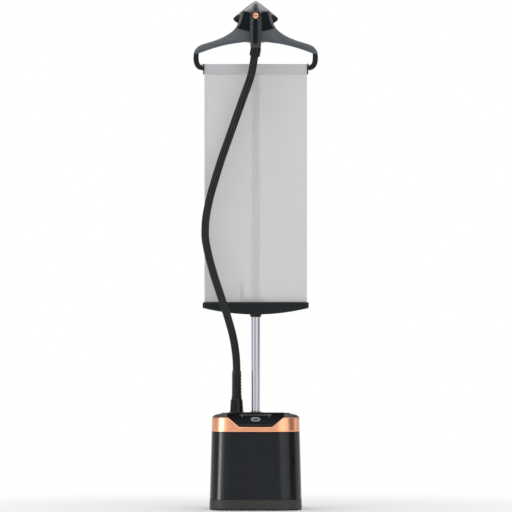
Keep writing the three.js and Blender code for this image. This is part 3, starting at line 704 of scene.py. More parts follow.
def build_top():
    deck = make("top_deck", crown_solid(), "panel_satin", "base", ["top_panel"])
    carve(deck, dip_prism(0.0003, -0.2, SLOPE["back_y"] + 0.0103))
    carve(deck, tank_box(0.0007))
    bore_for_pole_and_hose(deck)
    soften(deck, 0.0006, 2)

    lid = make("tank_lid_crown", crown_solid(), "panel_satin", "tank", ["tank_lid"])
    carve(lid, tank_box(0), "INTERSECT")
    bore(lid, FILLER_HOLE, FILLER["x"], FILLER["y"])
    for side in (-1, 1):
        x = side * 0.107
        carve(lid, block(x - 0.004, x + 0.004, 0.066, 0.092, 0.301, 0.3108, 0.003, 0.0015), "UNION")
    soften(lid, 0.0006, 2)

    collar = rounded_profile([(0.0162, 0.3035), (0.0162, 0.3083), (0.0212, 0.3083), (0.0218, 0.3035)], 0.001)
    make("filler_collar", turned(collar + collar[:1], (FILLER["x"], FILLER["y"], 0)), "panel_satin", "tank")


def build_filler_cap():
    low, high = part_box("filler_cap")
    x, y = FILLER["x"], FILLER["y"]
    rim, top = high.z - 0.0028, high.z
    profile = rounded_profile([(0, low.z), (0.0148, low.z), (0.0148, rim), (0.0185, rim), (0.0185, top),
                               (0.0150, top), (0.0140, top - 0.0012), (0, top - 0.0012)], 0.0007)
    bar = block(x - 0.0138, x + 0.0138, y - 0.0028, y + 0.0028, top - 0.0014, top + 0.0004, 0.0027, 0.0006)
    lug = block(x - 0.008, x + 0.008, y + 0.015, y + 0.0208, rim, rim + 0.002, 0.002, 0.0006)
    make("filler_cap_disc", merged(turned(profile, (x, y, 0)), bar, lug), "silver_trim", "cap",
         ["filler_cap"])


def slope_z(y):
    rise = (SLOPE["back_z"] - SLOPE["front_z"]) / (SLOPE["back_y"] - SLOPE["front_y"])
    return SLOPE["front_z"] + (y - SLOPE["front_y"]) * rise


SLOPE_ANGLE = math.atan2(SLOPE["back_z"] - SLOPE["front_z"], SLOPE["back_y"] - SLOPE["front_y"])


def on_slope(x, up, out, z):
    """A point on the control slope: across, up along it and out of it, about the line at height z."""
    y = SLOPE["front_y"] + (z - SLOPE["front_z"]) / math.tan(SLOPE_ANGLE)
    return (x, y + up * math.cos(SLOPE_ANGLE) - out * math.sin(SLOPE_ANGLE),
            z + up * math.sin(SLOPE_ANGLE) + out * math.cos(SLOPE_ANGLE))


def slope_shape(shape, z):
    points, faces = shape
    return [on_slope(px, py, pz, z) for px, py, pz in points], faces


def pill(half_x, half_y, layers, steps=10, x=0.0, y=0.0):
    """A pill whose layers are (inset, height) pairs."""
    rings = [level(rectangle(half_x - inset, half_y - inset, half_y - inset, steps), z, x, y) for inset,
             z in layers]
    return loft(rings)


def build_console():
    """The control slope between the shoulders, with a soft lip where it meets the band."""
    front = -(BASE["half_y"] - BASE["lean"] * 0.27 - 0.0047)
    back = SLOPE["back_y"] + 0.010
    side = [(front, 0.2545), (front, slope_z(front)), (SLOPE["back_y"], SLOPE["back_z"]),
            (back, deck_z(back))]
    profile = rounded_profile(side, 0.007, 6)
    dense = []
    for (y0, z0), (y1, z1) in zip(profile, profile[1:]):
        steps = max(1, round(math.dist((y0, z0), (y1, z1)) / 0.004))
        dense += [(y0 + (y1 - y0) * i / steps, z0 + (z1 - z0) * i / steps) for i in range(steps)]
    dense.append(profile[-1])
    rows = []
    for y, z in dense:
        half = dip_half(z) - 0.0003
        cheek_tops = [z + max(0.0, 0.3002 - z) * i / 5 for i in range(1, 6)]
        cheek = [(dip_half(top) - 0.0003, y, top) for top in cheek_tops]
        floor = [(half * (i / 24 - 1), y, z) for i in range(49)]
        rows.append([(-px, py, pz) for px, py, pz in reversed(cheek)] + floor + cheek)
    panel = make("console_slope", loft(rows, around=False, caps=False), "gloss_black", "base",
                 ["control_panel"])
    thicken(panel, 0.002, 0.0006, even=False)

    ring = [(0, -0.0006), (0, 0.0006), (0.0004, 0.0009), (0.0012, 0.0009), (0.0026, 0.0003),
            (0.0026, -0.0006)]
    rings = [level(rectangle(0.0155 - inset, 0.010 - inset, 0.010 - inset, 10), z) for inset, z in ring]
    bezel = loft(rings + rings[:1], caps=False)
    make("button_ring", slope_shape(bezel, BUTTON_Z_ON_SLOPE), "silver_trim", "base", ["button_bezel"])
    dish = [(0, -0.0012), (0, 0.0001), (0.0006, 0.0006), (0.0025, 0.0004), (0.0045, -0.0001)]
    make("start_button_cap", slope_shape(pill(0.0123, 0.0068, dish), BUTTON_Z_ON_SLOPE), "silver_trim",
         "start_button", ["power_button"])
    window = [(0, -0.0008), (0, 0.0001), (0.0005, 0.0003)]
    make("scale_window", slope_shape(pill(0.054, 0.0040, window), SCALE_Z_ON_SLOPE), "gloss_black", "base",
         ["scale_lens"])
    marks = [pill(0.044, 0.0005, [(0, 0.0002), (0, 0.0005)], 4)]
    for i in range(5):
        marks.append(pill(0.0013, 0.0013, [(0, 0.0002), (0, 0.00055)], 5, x=-0.030 + 0.015 * i, y=0.0014))
    make("scale_marks", slope_shape(merged(*marks), SCALE_Z_ON_SLOPE), "silver_trim", "base")
    arrows = []
    for side in (-1, 1):
        x = side * 0.044
        diamond = [(x - 0.0045, 0), (x, -0.0034), (x + 0.0045, 0), (x, 0.0034)]
        arrows.append(loft([[(px, py, z) for px, py in diamond] for z in (0.0002, 0.0006)]))
        point = [(x - 0.0034, -0.0062), (x, -0.0100), (x + 0.0034, -0.0062)]
        arrows.append(loft([[(px, py, z) for px, py in point] for z in (-0.0001, 0.0003)]))
    make("scale_arrows", slope_shape(merged(*arrows), SCALE_Z_ON_SLOPE), "silver_trim", "base")


def build_fittings():
    """The island on the deck, the hose connector with its flats, the ribbed relief and the pole's grommet."""
    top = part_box("hose_connector")[0].z - 0.0003
    island = [level(rectangle(0.058 + grow, 0.027 + grow, 0.020 + grow, 10), z, -0.030)
              for grow, z in [(0.0022, 0.3085), (0.0012, 0.3110), (0.0, 0.3128), (-0.0008, top - 0.0004),
                              (-0.002, top)]]
    raised = make("deck_island", loft(island), "panel_satin", "base")
    bore_for_pole_and_hose(raised)
    grommet = rounded_profile([(0.0142, 0.309), (0.0142, 0.3172), (0.0166, 0.3172), (0.0178, 0.3148),
                               (0.0178, 0.309)], 0.0008)
    make("pole_grommet", turned(grommet + grommet[:1]), "rubber_black", "base")

    low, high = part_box("hose_connector")
    sides = 12

    def fluted(radius, flat, z):
        """A ring whose edge has flats, as deep as the share says."""
        made = []
        for i in range(sides * 8):
            angle = 2 * math.pi * i / (sides * 8)
            edge = (angle % (2 * math.pi / sides)) - math.pi / sides
            chord = math.cos(math.pi / sides) / math.cos(edge)
            reach = radius * ((1 - flat) + flat * chord)
            made.append((FITTING_X + reach * math.cos(angle), reach * math.sin(angle), z))
        return made

    stack = [(0.0060, 0, low.z), (0.0218, 0, low.z), (0.0226, 0, low.z + 0.0012), (0.0222, 0, low.z + 0.0030),
             (0.0214, 0.2, low.z + 0.0042), (0.0212, 1, low.z + 0.0062), (0.0207, 1, low.z + 0.018),
             (0.0199, 1, low.z + 0.030), (0.0195, 1, high.z - 0.0115), (0.0190, 0.6, high.z - 0.0095),
             (0.0172, 0.2, high.z - 0.0075), (0.0165, 0, high.z - 0.0060), (0.0163, 0, high.z - 0.0005),
             (0.0158, 0, high.z), (0.0060, 0, high.z)]
    make("steam_connector", loft([fluted(*row) for row in stack]), "gloss_black", "base", ["hose_connector"])

    low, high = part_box("hose_relief")
    pitch, ribs = 0.0104, 7
    first = high.z - 0.0135 - pitch * ribs
    rows = [(0.0100, low.z), (0.0166, low.z), (0.0170, low.z + 0.0006), (0.0170, first - 0.0010)]
    for i in range(ribs):
        z = first + i * pitch
        reach = 0.0164 - 0.0008 * i / ribs
        rows += [(reach - 0.0018, z), (reach - 0.0020, z + 0.0026), (reach - 0.0006, z + 0.0034),
                 (reach, z + 0.0044), (reach, z + 0.0084), (reach - 0.0005, z + 0.0094)]
    rows += [(0.0142, high.z - 0.0134), (0.0146, high.z - 0.0125), (0.0150, high.z - 0.0110),
             (0.0148, high.z - 0.0008), (0.0142, high.z), (0.0126, high.z), (0.0100, high.z)]
    cage = turned(rows, (FITTING_X, 0, 0), steps=56)
    spines = [block(FITTING_X + 0.0150 * math.cos(a) - 0.0017, FITTING_X + 0.0150 * math.cos(a) + 0.0017,
                    0.0150 * math.sin(a) - 0.0017, 0.0150 * math.sin(a) + 0.0017,
                    first - 0.001, high.z - 0.011, 0.0012, 0.0006)
              for a in (math.radians(-112), math.radians(68))]
    make("ribbed_relief", merged(cage, *spines), "rubber_black", "base", ["hose_relief"])


# ---- Water tank ----
def tank_ring(z, inset, steps=12):
    """The tank's outline at a height: the casing's rear, closed by a flat front wall."""
    half = TANK_HALF - inset
    lean = BASE["lean"] * z + inset
    radius = BASE["radius"] - inset
    flat_x = BASE["half_x"] - lean - radius
    flat_y = BASE["half_y"] - lean - radius
    limit = math.asin((half - flat_x) / radius)
    made = []
    for i in range(steps + 1):
        angle = limit * (1 - i / steps)
        made.append((flat_x + radius * math.sin(angle), flat_y + radius * math.cos(angle), z))
    flat_steps = 8
    made += [(flat_x * (1 - 2 * i / flat_steps), flat_y + radius, z) for i in range(1, flat_steps)]
    made += [(-x, y, z) for x, y, _ in reversed(made[:steps + 1])]
    corner = 0.006
    front = TANK_FRONT + inset
    for side in (-1, 1):
        arc = [(side * (half - corner + corner * math.cos(a)), front + corner - corner * math.sin(a), z)
               for a in [math.pi / 2 * i / 4 for i in range(5)]]
        made += arc if side < 0 else list(reversed(arc))
    return made


def build_tank():
    low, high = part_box("water_tank")
    outer = [(0.0040, 0), (0.0016, 0.0006), (0.0005, 0.0018), (0, 0.0035)]
    rings = [tank_ring(low.z + up, inset) for inset, up in outer]
    rings += [tank_ring(low.z + (high.z - low.z) * i / 10, 0) for i in range(1, 10)]
    rings += [tank_ring(high.z - 0.0008, 0), tank_ring(high.z, 0.0008), tank_ring(high.z, 0.0022),
              tank_ring(high.z - 0.0008, 0.003)]
    rings += [tank_ring(high.z - (high.z - low.z) * i / 10, 0.003) for i in range(1, 10)]
    rings += [tank_ring(low.z + 0.0055, 0.003), tank_ring(low.z + 0.0035, 0.005),
              tank_ring(low.z + 0.003, 0.008)]
    make("smoke_tank", loft(rings), "tank_smoke", "tank", ["water_tank"])
    marks = []
    for i, half_length in enumerate((0.009, 0.005, 0.005, 0.009, 0.005, 0.005, 0.009)):
        z = 0.120 + 0.024 * i
        rear = BASE["half_y"] - BASE["lean"] * z
        marks.append(block(-0.060 - half_length, -0.060 + half_length, rear - 0.0006, rear + 0.0003,
                           z - 0.0007, z + 0.0007, 0.0004, 0.0003))
    rear = BASE["half_y"] - BASE["lean"] * 0.262
    for z in (0.256, 0.262, 0.268):
        marks.append(block(-0.030, 0.030, rear - 0.0008, rear + 0.0008, z - 0.0011, z + 0.0011, 0.0007,
                           0.0005))
    make("tank_marks", merged(*marks), "silver_trim", "tank")


# ---- Running gear ----
def build_running_gear():
    for name in ("left", "right"):
        low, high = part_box(f"wheel_{name}")
        centre = ((low.x + high.x) / 2, (low.y + high.y) / 2, (low.z + high.z) / 2)
        radius, half = (high.z - low.z) / 2, (high.x - low.x) / 2
        tyre = rounded_profile([(0.0175, -half + 0.003), (0.0190, -half), (radius - 0.002, -half),
                                (radius, -half + 0.003), (radius, half - 0.003), (radius - 0.002, half),
                                (0.0190, half), (0.0175, half - 0.003), (0.0175, -half + 0.003)], 0.0012)
        make(f"tyre_{name}", turned(tyre, centre, "X", 56), "rubber_black", f"{name}_wheel",
             [f"wheel_{name}"])
        hub = rounded_profile([(0.0034, -0.0075), (0.0070, -0.0075), (0.0075, -0.0020), (0.0160, -0.0020),
                               (0.0160, -0.0065), (0.0174, -0.0065), (0.0174, 0.0065), (0.0160, 0.0065),
                               (0.0160, 0.0020), (0.0075, 0.0020), (0.0070, 0.0075), (0.0034, 0.0075),
                               (0.0034, -0.0075)], 0.0006)
        spokes = []
        for i in range(5):
            angle = 2 * math.pi * i / 5
            across = Vector((0, -math.sin(angle), math.cos(angle))) * 0.0014
            ends = [Vector((0, math.cos(angle), math.sin(angle))) * r for r in (0.0070, 0.0165)]
            ring = [[tuple(Vector(centre) + end + sign * across + Vector((x, 0, 0)))
                     for sign, x in ((-1, -0.0055), (1, -0.0055), (1, 0.0055), (-1, 0.0055))]
                    for end in ends]
            spokes.append(loft(ring))
        make(f"wheel_hub_{name}", merged(turned(hub, centre, "X"), *spokes), "black_plastic", f"{name}_wheel")
        low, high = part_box(f"foot_{name}")
        centre = ((low.x + high.x) / 2, (low.y + high.y) / 2, 0)
        pad = rounded_profile([(0, 0.0006), (0.0080, 0.0006), (0.0088, 0), (0.0120, 0), (0.0130, 0.0015),
                               (0.0130, high.z), (0, high.z)], 0.0005)
        make(f"foot_pad_{name}", turned(pad, centre), "rubber_black", "base", [f"foot_{name}"])


# ---- Pole and locks ----
def build_pole():
    for name, body in (("lower_tube", "base"), ("upper_tube", "mast")):
        low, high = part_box(name)
        outer = (high.x - low.x) / 2
        inner = outer - 0.0011
        profile = [(inner, low.z), (outer - 0.0003, low.z), (outer, low.z + 0.0003)]
        profile += [(outer, low.z + (high.z - low.z) * i / 12) for i in range(1, 12)]
        profile += [(outer, high.z - 0.0003), (outer - 0.0003, high.z), (inner, high.z), (inner, low.z)]
        make(f"{name}_polished", turned(profile, steps=64), "pole_metal", body, [name])
    build_lock("lower_lock", "base", "lower_lever", 0.0143, 0.0124)
    build_lock("upper_lock", "mast", "upper_lever", 0.0123, 0.0116)


def build_lock(prefix, body, lever_body, tube, inner):
    """A clamp collar with two ears, and the lever between them."""
    low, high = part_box(f"{prefix}_collar")
    radius, mid = 0.0175, (low.z + high.z) / 2 + 0.0015
    profile = rounded_profile([(tube, low.z), (radius - 0.0012, low.z), (radius, low.z + 0.002),
                               (radius, mid - 0.0005), (radius - 0.0008, mid), (radius, mid + 0.0005),
                               (radius, high.z - 0.002), (radius - 0.0012, high.z), (inner, high.z),
                               (inner, mid), (tube, mid), (tube, low.z)], 0.0008)
    pin_y, pin_z = radius + 0.0035, high.z - 0.005
    ears = [block(x - 0.0014, x + 0.0014, 0.0145, pin_y + 0.0029, pin_z - 0.0039, high.z - 0.0001, 0.001,
                  0.0008)
            for x in (-0.009, 0.009)]
    make(f"{prefix}_clamp", merged(turned(profile), *ears), "black_plastic", body, [f"{prefix}_collar"])
    low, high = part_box(f"{prefix}_lever")
    back = [(pin_y - 0.0026, pin_z - 0.003), (pin_y - 0.0024, low.z + 0.008), (pin_y + 0.0012, low.z),
            (pin_y + 0.0030, low.z), (pin_y + 0.0026, pin_z - 0.002), (pin_y + 0.0028, pin_z),
            (pin_y + 0.0014, pin_z + 0.0024), (pin_y - 0.0010, pin_z + 0.0026)]
    blade = loft([[(x, y, z) for y, z in back] for x in (-0.007, -0.0035, 0, 0.0035, 0.007)])
    grips = [block(-0.0055, 0.0055, pin_y + 0.0022, pin_y + 0.0034, z, z + 0.0012, 0.0005, 0.0004)
             for z in (low.z + 0.003, low.z + 0.0055, low.z + 0.008)]
    lever = make(f"{prefix}_blade", merged(blade, *grips), "black_plastic", lever_body, [f"{prefix}_lever"],
                 0.0007)
    pin = turned([(0, -0.0108), (0.0013, -0.0108), (0.0015, -0.0105), (0.0015, 0.0105), (0.0013, 0.0108),
                  (0, 0.0108)], (0, pin_y, pin_z), "X", 24)
    pivot = make(f"{prefix}_pivot", pin, "inner_steel", None)
    pivot.parent = lever


# ---- Roll-up pressing board ----
def case_low(x):
    """Height of the case's curved lower edge."""
    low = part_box("roller_case")[0].z
    end = 0.653
    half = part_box("case_end_right")[1].x
    share = min(1.0, abs(x) / (half - 0.004))
    return low + (end - low) * share * share


def case_section(x, shrink=0.0):
    """A section of the case across X: a flat back, a softly crowned front and round edges."""
    low, high = case_low(x) + shrink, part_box("roller_case")[1].z - shrink
    front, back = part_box("roller_case")[0].y + shrink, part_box("roller_case")[1].y - shrink
    middle = (low + high) / 2
    made = []
    for py, pz in rectangle((back - front) / 2, (high - low) / 2, min(0.0055, (high - low) / 2.2), 5):
        crown = 0.0012 * (1 - (pz / ((high - low) / 2)) ** 2) if py < 0 else 0.0
        made.append((x, (front + back) / 2 + py + 0.0012 * (py < 0) - crown, middle + pz))
    return made


def build_case():
    half = 0.1664
    stations = [-half + 2 * half * i / 48 for i in range(49)]
    slot = block(-0.1676, 0.1676, BOARD_Y - 0.0016, BOARD_Y + 0.0016, 0.66, 0.68, 0.0012, 0.0005)
    chamber = block(-0.164, 0.164, -0.0555, -0.0225, 0.6536, 0.671, 0.004, 0.002)
    shell = make("case_shell", loft([case_section(x) for x in stations]), "black_plastic", "base",
                 ["roller_case"])
    carve(shell, chamber)
    carve(shell, slot)
    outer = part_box("case_end_right")[1].x
    for side, name in ((-1, "left"), (1, "right")):
        steps = [(0.1667, 0), (0.168, 0), (outer - 0.0032, 0), (outer - 0.0018, 0.0004),
                 (outer - 0.0007, 0.0014), (outer, 0.0034)]
        cap = loft([case_section(side * x, shrink) for x, shrink in steps])
        pin = turned([(0, 0.150), (0.0034, 0.150), (0.0034, 0.1668), (0, 0.1668)],
                     (0, *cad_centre("roller_tube")), "X", 24)
        pin = ([(side * x, y, z) for x, y, z in pin[0]], pin[1])
        make(f"case_cap_{name}", merged(cap, pin), "black_plastic", "base", [f"case_end_{name}"])
    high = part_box("roller_case")[1].z
    lips = [block(-0.165, 0.165, BOARD_Y + d - 0.0007, BOARD_Y + d + 0.0007, high - 0.0012, high + 0.0007,
                  0.0006, 0.0005)
            for d in (-0.0030, 0.0030)]
    make("slot_lips", merged(*lips), "rubber_black", "base")


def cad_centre(node):
    """The middle of a node in Y and Z."""
    low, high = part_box(node)
    return (low.y + high.y) / 2, (low.z + high.z) / 2


def build_fabric():
    low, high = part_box("board_fabric")
    half = (high.x - low.x) / 2
    hem = 0.0055
    xs = [-half, -half + 0.0008, -half + hem - 0.0006, -half + hem]
    xs += [-half + hem + 2 * (half - hem) * i / 44 for i in range(1, 44)]
    xs += [half - hem, half - hem + 0.0006, half - 0.0008, half]
    thick = [0.0002 if abs(x) > half - 0.0001 else 0.0007 if abs(x) > half - hem + 0.0003 else 0.00035
             for x in xs]
    zs = [low.z + (high.z - low.z) * i / 90 for i in range(91)]

    def ripple(x, z):
        """The cloth hangs almost flat, with the slightest waves near its free sides."""
        share = (z - low.z) / (high.z - low.z)
        fade = math.sin(math.pi * share)
        return 0.0007 * fade * (abs(x) / half) ** 2 * math.sin(z * 23 + (2.1 if x > 0 else 0.4))

    front = [[(x, BOARD_Y - t + ripple(x, z), z) for x, t in zip(xs, thick)] for z in zs]
    back = [[(x, BOARD_Y + t + ripple(x, z), z) for x, t in zip(xs, thick)] for z in zs]
    rings = [a + list(reversed(b)) for a, b in zip(front, back)]
    cloth = make("mesh_board", loft(rings), "board_mesh", "base", ["board_fabric"], angle=60)
    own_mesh(cloth)

    low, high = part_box("board_top_bar")
    bar_half = 0.167
    rings = []
    for x in [-bar_half, -bar_half + 0.0006, *[-bar_half + 0.002 + (2 * bar_half - 0.004) * i / 30
                                               for i in range(31)], bar_half - 0.0006, bar_half]:
        pinch = 0.0012 if abs(x) > bar_half - 0.0003 else 0.0003 if abs(x) > bar_half - 0.001 else 0
        section = rectangle(0.0040 - pinch, (high.z - low.z) / 2 - pinch, 0.0030 - pinch / 2, 5)
        rings.append([(x, BOARD_Y + py, (low.z + high.z) / 2 + pz) for py, pz in section])
    bar = make("top_bar_sleeve", loft(rings), "board_sleeve", "mast", ["board_top_bar"])
    ends = []
    for side in (-1, 1):
        x0, x1 = sorted((side * 0.1672, side * 0.1708))
        ends.append(block(x0, x1, BOARD_Y - 0.0048, BOARD_Y + 0.0048, low.z - 0.0015, high.z + 0.0004,
                          0.0012, 0.0012))
        peg = turned([(0, 0.1700), (0.0020, 0.1700), (0.0020, 0.1730), (0.0016, 0.1734), (0, 0.1734)],
                     (0, BOARD_Y, high.z - 0.0012), "X", 24)
        ends.append(([(side * x, y, z) for x, y, z in peg[0]], peg[1]))
    make("top_bar_ends", merged(*ends), "black_plastic", "mast")


def build_bracket():
    """The clamp that holds the case to the pole, with its upright cord hook."""
    low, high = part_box("case_bracket")
    pole = POLE_HOLE
    collar = rounded_profile([(pole, low.z), (0.0168, low.z), (0.0174, low.z + 0.0015),
                              (0.0188, low.z + 0.0065), (0.0188, 0.676), (pole, 0.676),
                              (pole, low.z)], 0.0010)
    bridge = make("bracket_clamp", turned(collar), "black_plastic", "base", ["case_bracket"])
    carve(bridge, block(-0.051, 0.022, -0.015, 0.020, 0.6695, 0.687, 0.006, 0.002), "UNION")
    carve(bridge, block(-0.030, 0.030, -0.0197, -0.0125, 0.638, 0.687, 0.003, 0.001), "UNION")
    carve(bridge, block(-0.051, -0.0385, -0.008, 0.012, 0.684, high.z, 0.0055, 0.003), "UNION")
    carve(bridge, turned([(0, 0.6), (pole, 0.6), (pole, 0.8), (0, 0.8)]))
    soften(bridge, 0.0006, 2)
    head = rounded_profile([(0, 0.0195), (0.0032, 0.0195), (0.0034, 0.0212), (0.0016, 0.0218),
                            (0.0016, 0.0206), (0, 0.0206)], 0.0003)
    make("bracket_screw", turned(head, (-0.030, 0, 0.6783), "Y", 24), "inner_steel", "base")


# ---- Clothes hanger ----
# Stations from the middle of the hub to the shoulder: the upper edge's x and z, then the lower edge's.
ARM_EDGES = [
    (0, 1.6050, 0, 1.5195), (0.010, 1.6055, 0.010, 1.5194), (0.016, 1.6105, 0.016, 1.5190),
    (0.022, 1.6165, 0.021, 1.5186), (0.029, 1.6182, 0.028, 1.5180), (0.037, 1.6182, 0.036, 1.5174),
    (0.043, 1.6178, 0.042, 1.5168), (0.0475, 1.6150, 0.047, 1.5163), (0.0505, 1.6050, 0.051, 1.5158),
    (0.0530, 1.5940, 0.055, 1.5152), (0.0560, 1.5830, 0.060, 1.5146), (0.0602, 1.5720, 0.066, 1.5138),
    (0.0665, 1.5620, 0.073, 1.5128), (0.0760, 1.5525, 0.081, 1.5115), (0.0880, 1.5442, 0.090, 1.5097),
    (0.1020, 1.5362, 0.101, 1.5074), (0.1180, 1.5288, 0.115, 1.5040), (0.1380, 1.5213, 0.133, 1.4990),
    (0.1580, 1.5153, 0.149, 1.4942), (0.1740, 1.5103, 0.163, 1.4892), (0.1860, 1.5043, 0.173, 1.4855),
    (0.1940, 1.4965, 0.180, 1.4832), (0.1993, 1.4880, 0.184, 1.4814), (0.2013, 1.4803, 0.185, 1.4803),
]
HOOK_EDGES = [
    (0.2012, 1.4800, 0.1850, 1.4800), (0.2022, 1.4720, 0.1852, 1.4720), (0.2024, 1.4640, 0.1850, 1.4640),
    (0.2016, 1.4550, 0.1843, 1.4560), (0.1995, 1.4460, 0.1822, 1.4495), (0.1950, 1.4375, 0.1785, 1.4450),
    (0.1885, 1.4310, 0.1745, 1.4430), (0.1810, 1.4275, 0.1715, 1.4423), (0.1740, 1.4262, 0.1690, 1.4420),
    (0.1700, 1.4260, 0.1685, 1.4420),
]


def hanger_section(upper, lower, front, back_of, radius_up, radius_low, side):
    """A closed section between two edges: up the front, over the top and down the back."""
    upper, lower = Vector(upper), Vector(lower)
    axis = upper - lower
    height = axis.length
    axis /= height
    top_back = back_of(upper.y)
    r_up = min(radius_up, height * 0.46, (top_back - front) * 0.48)
    r_low = min(radius_low, height * 0.46, (back_of(lower.y) - front) * 0.48)
    steps = 6
    turns = [math.pi / 2 * i / steps for i in range(steps + 1)]
    quarter = [(1 - math.sin(a), 1 - math.cos(a)) for a in turns]
    line = [(front + r_low * u, r_low * v) for u, v in quarter]
    line += [(front, r_low + (height - r_low - r_up) * i / 10) for i in range(1, 10)]
    line += [(front + r_up * v, height - r_up * u) for u, v in quarter]
    line += [(top_back - r_up * u, height - r_up * v) for u, v in quarter]
    for i in range(1, 18):
        along = height - r_up + (r_low - height + r_up) * i / 18
        line.append((back_of((lower + axis * along).y), along))
    low_back = back_of(lower.y)
    line += [(low_back - r_low * v, r_low * u) for u, v in quarter]
    return [(side * (lower + axis * v).x, y, (lower + axis * v).y) for y, v in line]


def smooth_rows(edges, per_span):
    """Pairs of an upper and a lower point, with smooth steps between the edges' stations."""
    curves = []
    for first in (0, 2):
        route = [(*row[first:first + 2], 0) for row in edges]
        curves.append([(p.x, p.y) for p in spline(route, per_span)])
    return list(zip(*curves))


def build_hanger():
    arm_low, arm_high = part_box("hanger_arm_right")
    hood_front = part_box("hanger_hub")[0].y

    def arm_ring(upper, lower, side):
        x = (upper[0] + lower[0]) / 2
        front = hood_front + (arm_low.y - hood_front) * smoothstep(0.052, 0.112, x)
        near_hood = 1 - smoothstep(0.045, 0.085, x)
        thin = hood_front + 0.012

        def back_of(z):
            return arm_high.y + (thin - arm_high.y) * smoothstep(1.546, 1.560, z) * near_hood

        return hanger_section(upper, lower, front, back_of, 0.0135 - 0.0085 * near_hood, 0.0135, side)

    rows = smooth_rows(ARM_EDGES, 4)
    left = [arm_ring(upper, lower, -1) for upper, lower in reversed(rows)]
    right = [arm_ring(upper, lower, 1) for upper, lower in rows[1:]]
    make("hanger_body", loft(left + right), "hanger_plastic", "mast",
         ["hanger_hub", "hanger_arm_left", "hanger_arm_right"], angle=50)
    for side, name in ((-1, "left"), (1, "right")):
        low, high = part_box(f"end_hook_{name}")
        rows = smooth_rows(HOOK_EDGES, 4)
        rings = [hanger_section(upper, lower, low.y - 0.001, lambda z: high.y + 0.001, 0.0085, 0.0085, side)
                 for upper, lower in rows]
        tip_upper, tip_lower = Vector(rows[-1][0]), Vector(rows[-1][1])
        middle = (tip_upper + tip_lower) / 2
        for out, scale in ((0.0006, 0.93), (0.0009, 0.8)):
            shift = Vector((-out, 0))
            edge = [middle + (p - middle) * scale + shift for p in (tip_upper, tip_lower)]
            centre_y = (low.y + high.y) / 2
            rings.append([(x, centre_y + (y - centre_y) * scale, z)
                          for x, y, z in hanger_section(edge[0], edge[1], low.y - 0.001,
                                                        lambda z: high.y + 0.001, 0.0085, 0.0085, side)])
        make(f"hook_{name}", loft(rings), "black_plastic", "mast", [f"end_hook_{name}"], angle=50)

    socket = merged(block(-0.022, 0.022, -0.032, 0.016, 1.519, 1.542, 0.010, 0.0035),
                    block(-0.030, 0.030, -0.030, -0.016, 1.5165, 1.5445, 0.006, 0.003))
    make("stem_socket", socket, "hanger_plastic", "mast")
    low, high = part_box("hanger_stem")
    stem = rounded_profile([(0, low.z), (0.0106, low.z), (0.0106, 1.3642), (0.0113, 1.3642), (0.0113, 1.4400),
                            (0.0055, 1.4460), (0.0055, 1.5120), (0.0113, 1.5180), (0.0113, high.z),
                            (0, high.z)], 0.0012)
    make("stem_rod", turned(stem), "black_plastic", "mast", ["hanger_stem"])


PANEL_EDGE = [(0.0120, 1.6030), (0.0165, 1.6080), (0.0225, 1.6138), (0.0290, 1.6156), (0.0350, 1.6156),
              (0.0392, 1.6148), (0.0412, 1.6080), (0.0430, 1.5990), (0.0470, 1.5840), (0.0525, 1.5712),
              (0.0595, 1.5620)]


def build_gloss_panel():
    """The gloss black cradle panel: its edge dips behind the handset and its foot is an arc."""
    low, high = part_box("cradle_panel")
    half = [(0.0, 1.6018), (0.006, 1.6020), *PANEL_EDGE]
    foot = [(0.0595 * share, 1.5500 + 0.0118 * share * share) for share in (0.98, 0.85, 0.7, 0.5, 0.3, 0.1)]
    outline = half + foot
    whole = outline + [(-x, z) for x, z in reversed(outline) if x > 0]
    panel = make("cradle_gloss", plate(whole, low.y - 0.0002, high.y), "gloss_black", "mast",
                 ["cradle_panel"])
    soften(panel, 0.0009, 3)


# ---- Handset ----
def head_point(across, up, out):
    """A point in the head's tilted plane: across, up along the plane, and out from the sole."""
    tilt = HEAD["tilt"]
    return (across, HEAD["y"] - up * math.sin(tilt) + out * math.cos(tilt),
            HEAD["z"] + up * math.cos(tilt) + out * math.sin(tilt))


KITE = [(0, 0.060), (0.0060, 0.0572), (0.0200, 0.0465), (0.0380, 0.0318), (0.0560, 0.0165), (0.0685, 0.0055),
        (0.0726, 0.0005), (0.0712, -0.0052), (0.0600, -0.0142), (0.0480, -0.0235), (0.0360, -0.0350),
        (0.0270, -0.0440), (0.0190, -0.0490), (0.0090, -0.0500), (0, -0.0500)]


def kite_ring(scale, out, shift=0.0):
    half = [(p.x, p.y) for p in spline([(x, y, 0) for x, y in KITE], 4)]
    whole = half + [(-x, y) for x, y in reversed(half[1:-1])]
    return [head_point(x * scale, y * scale + shift, out) for x, y in whole]


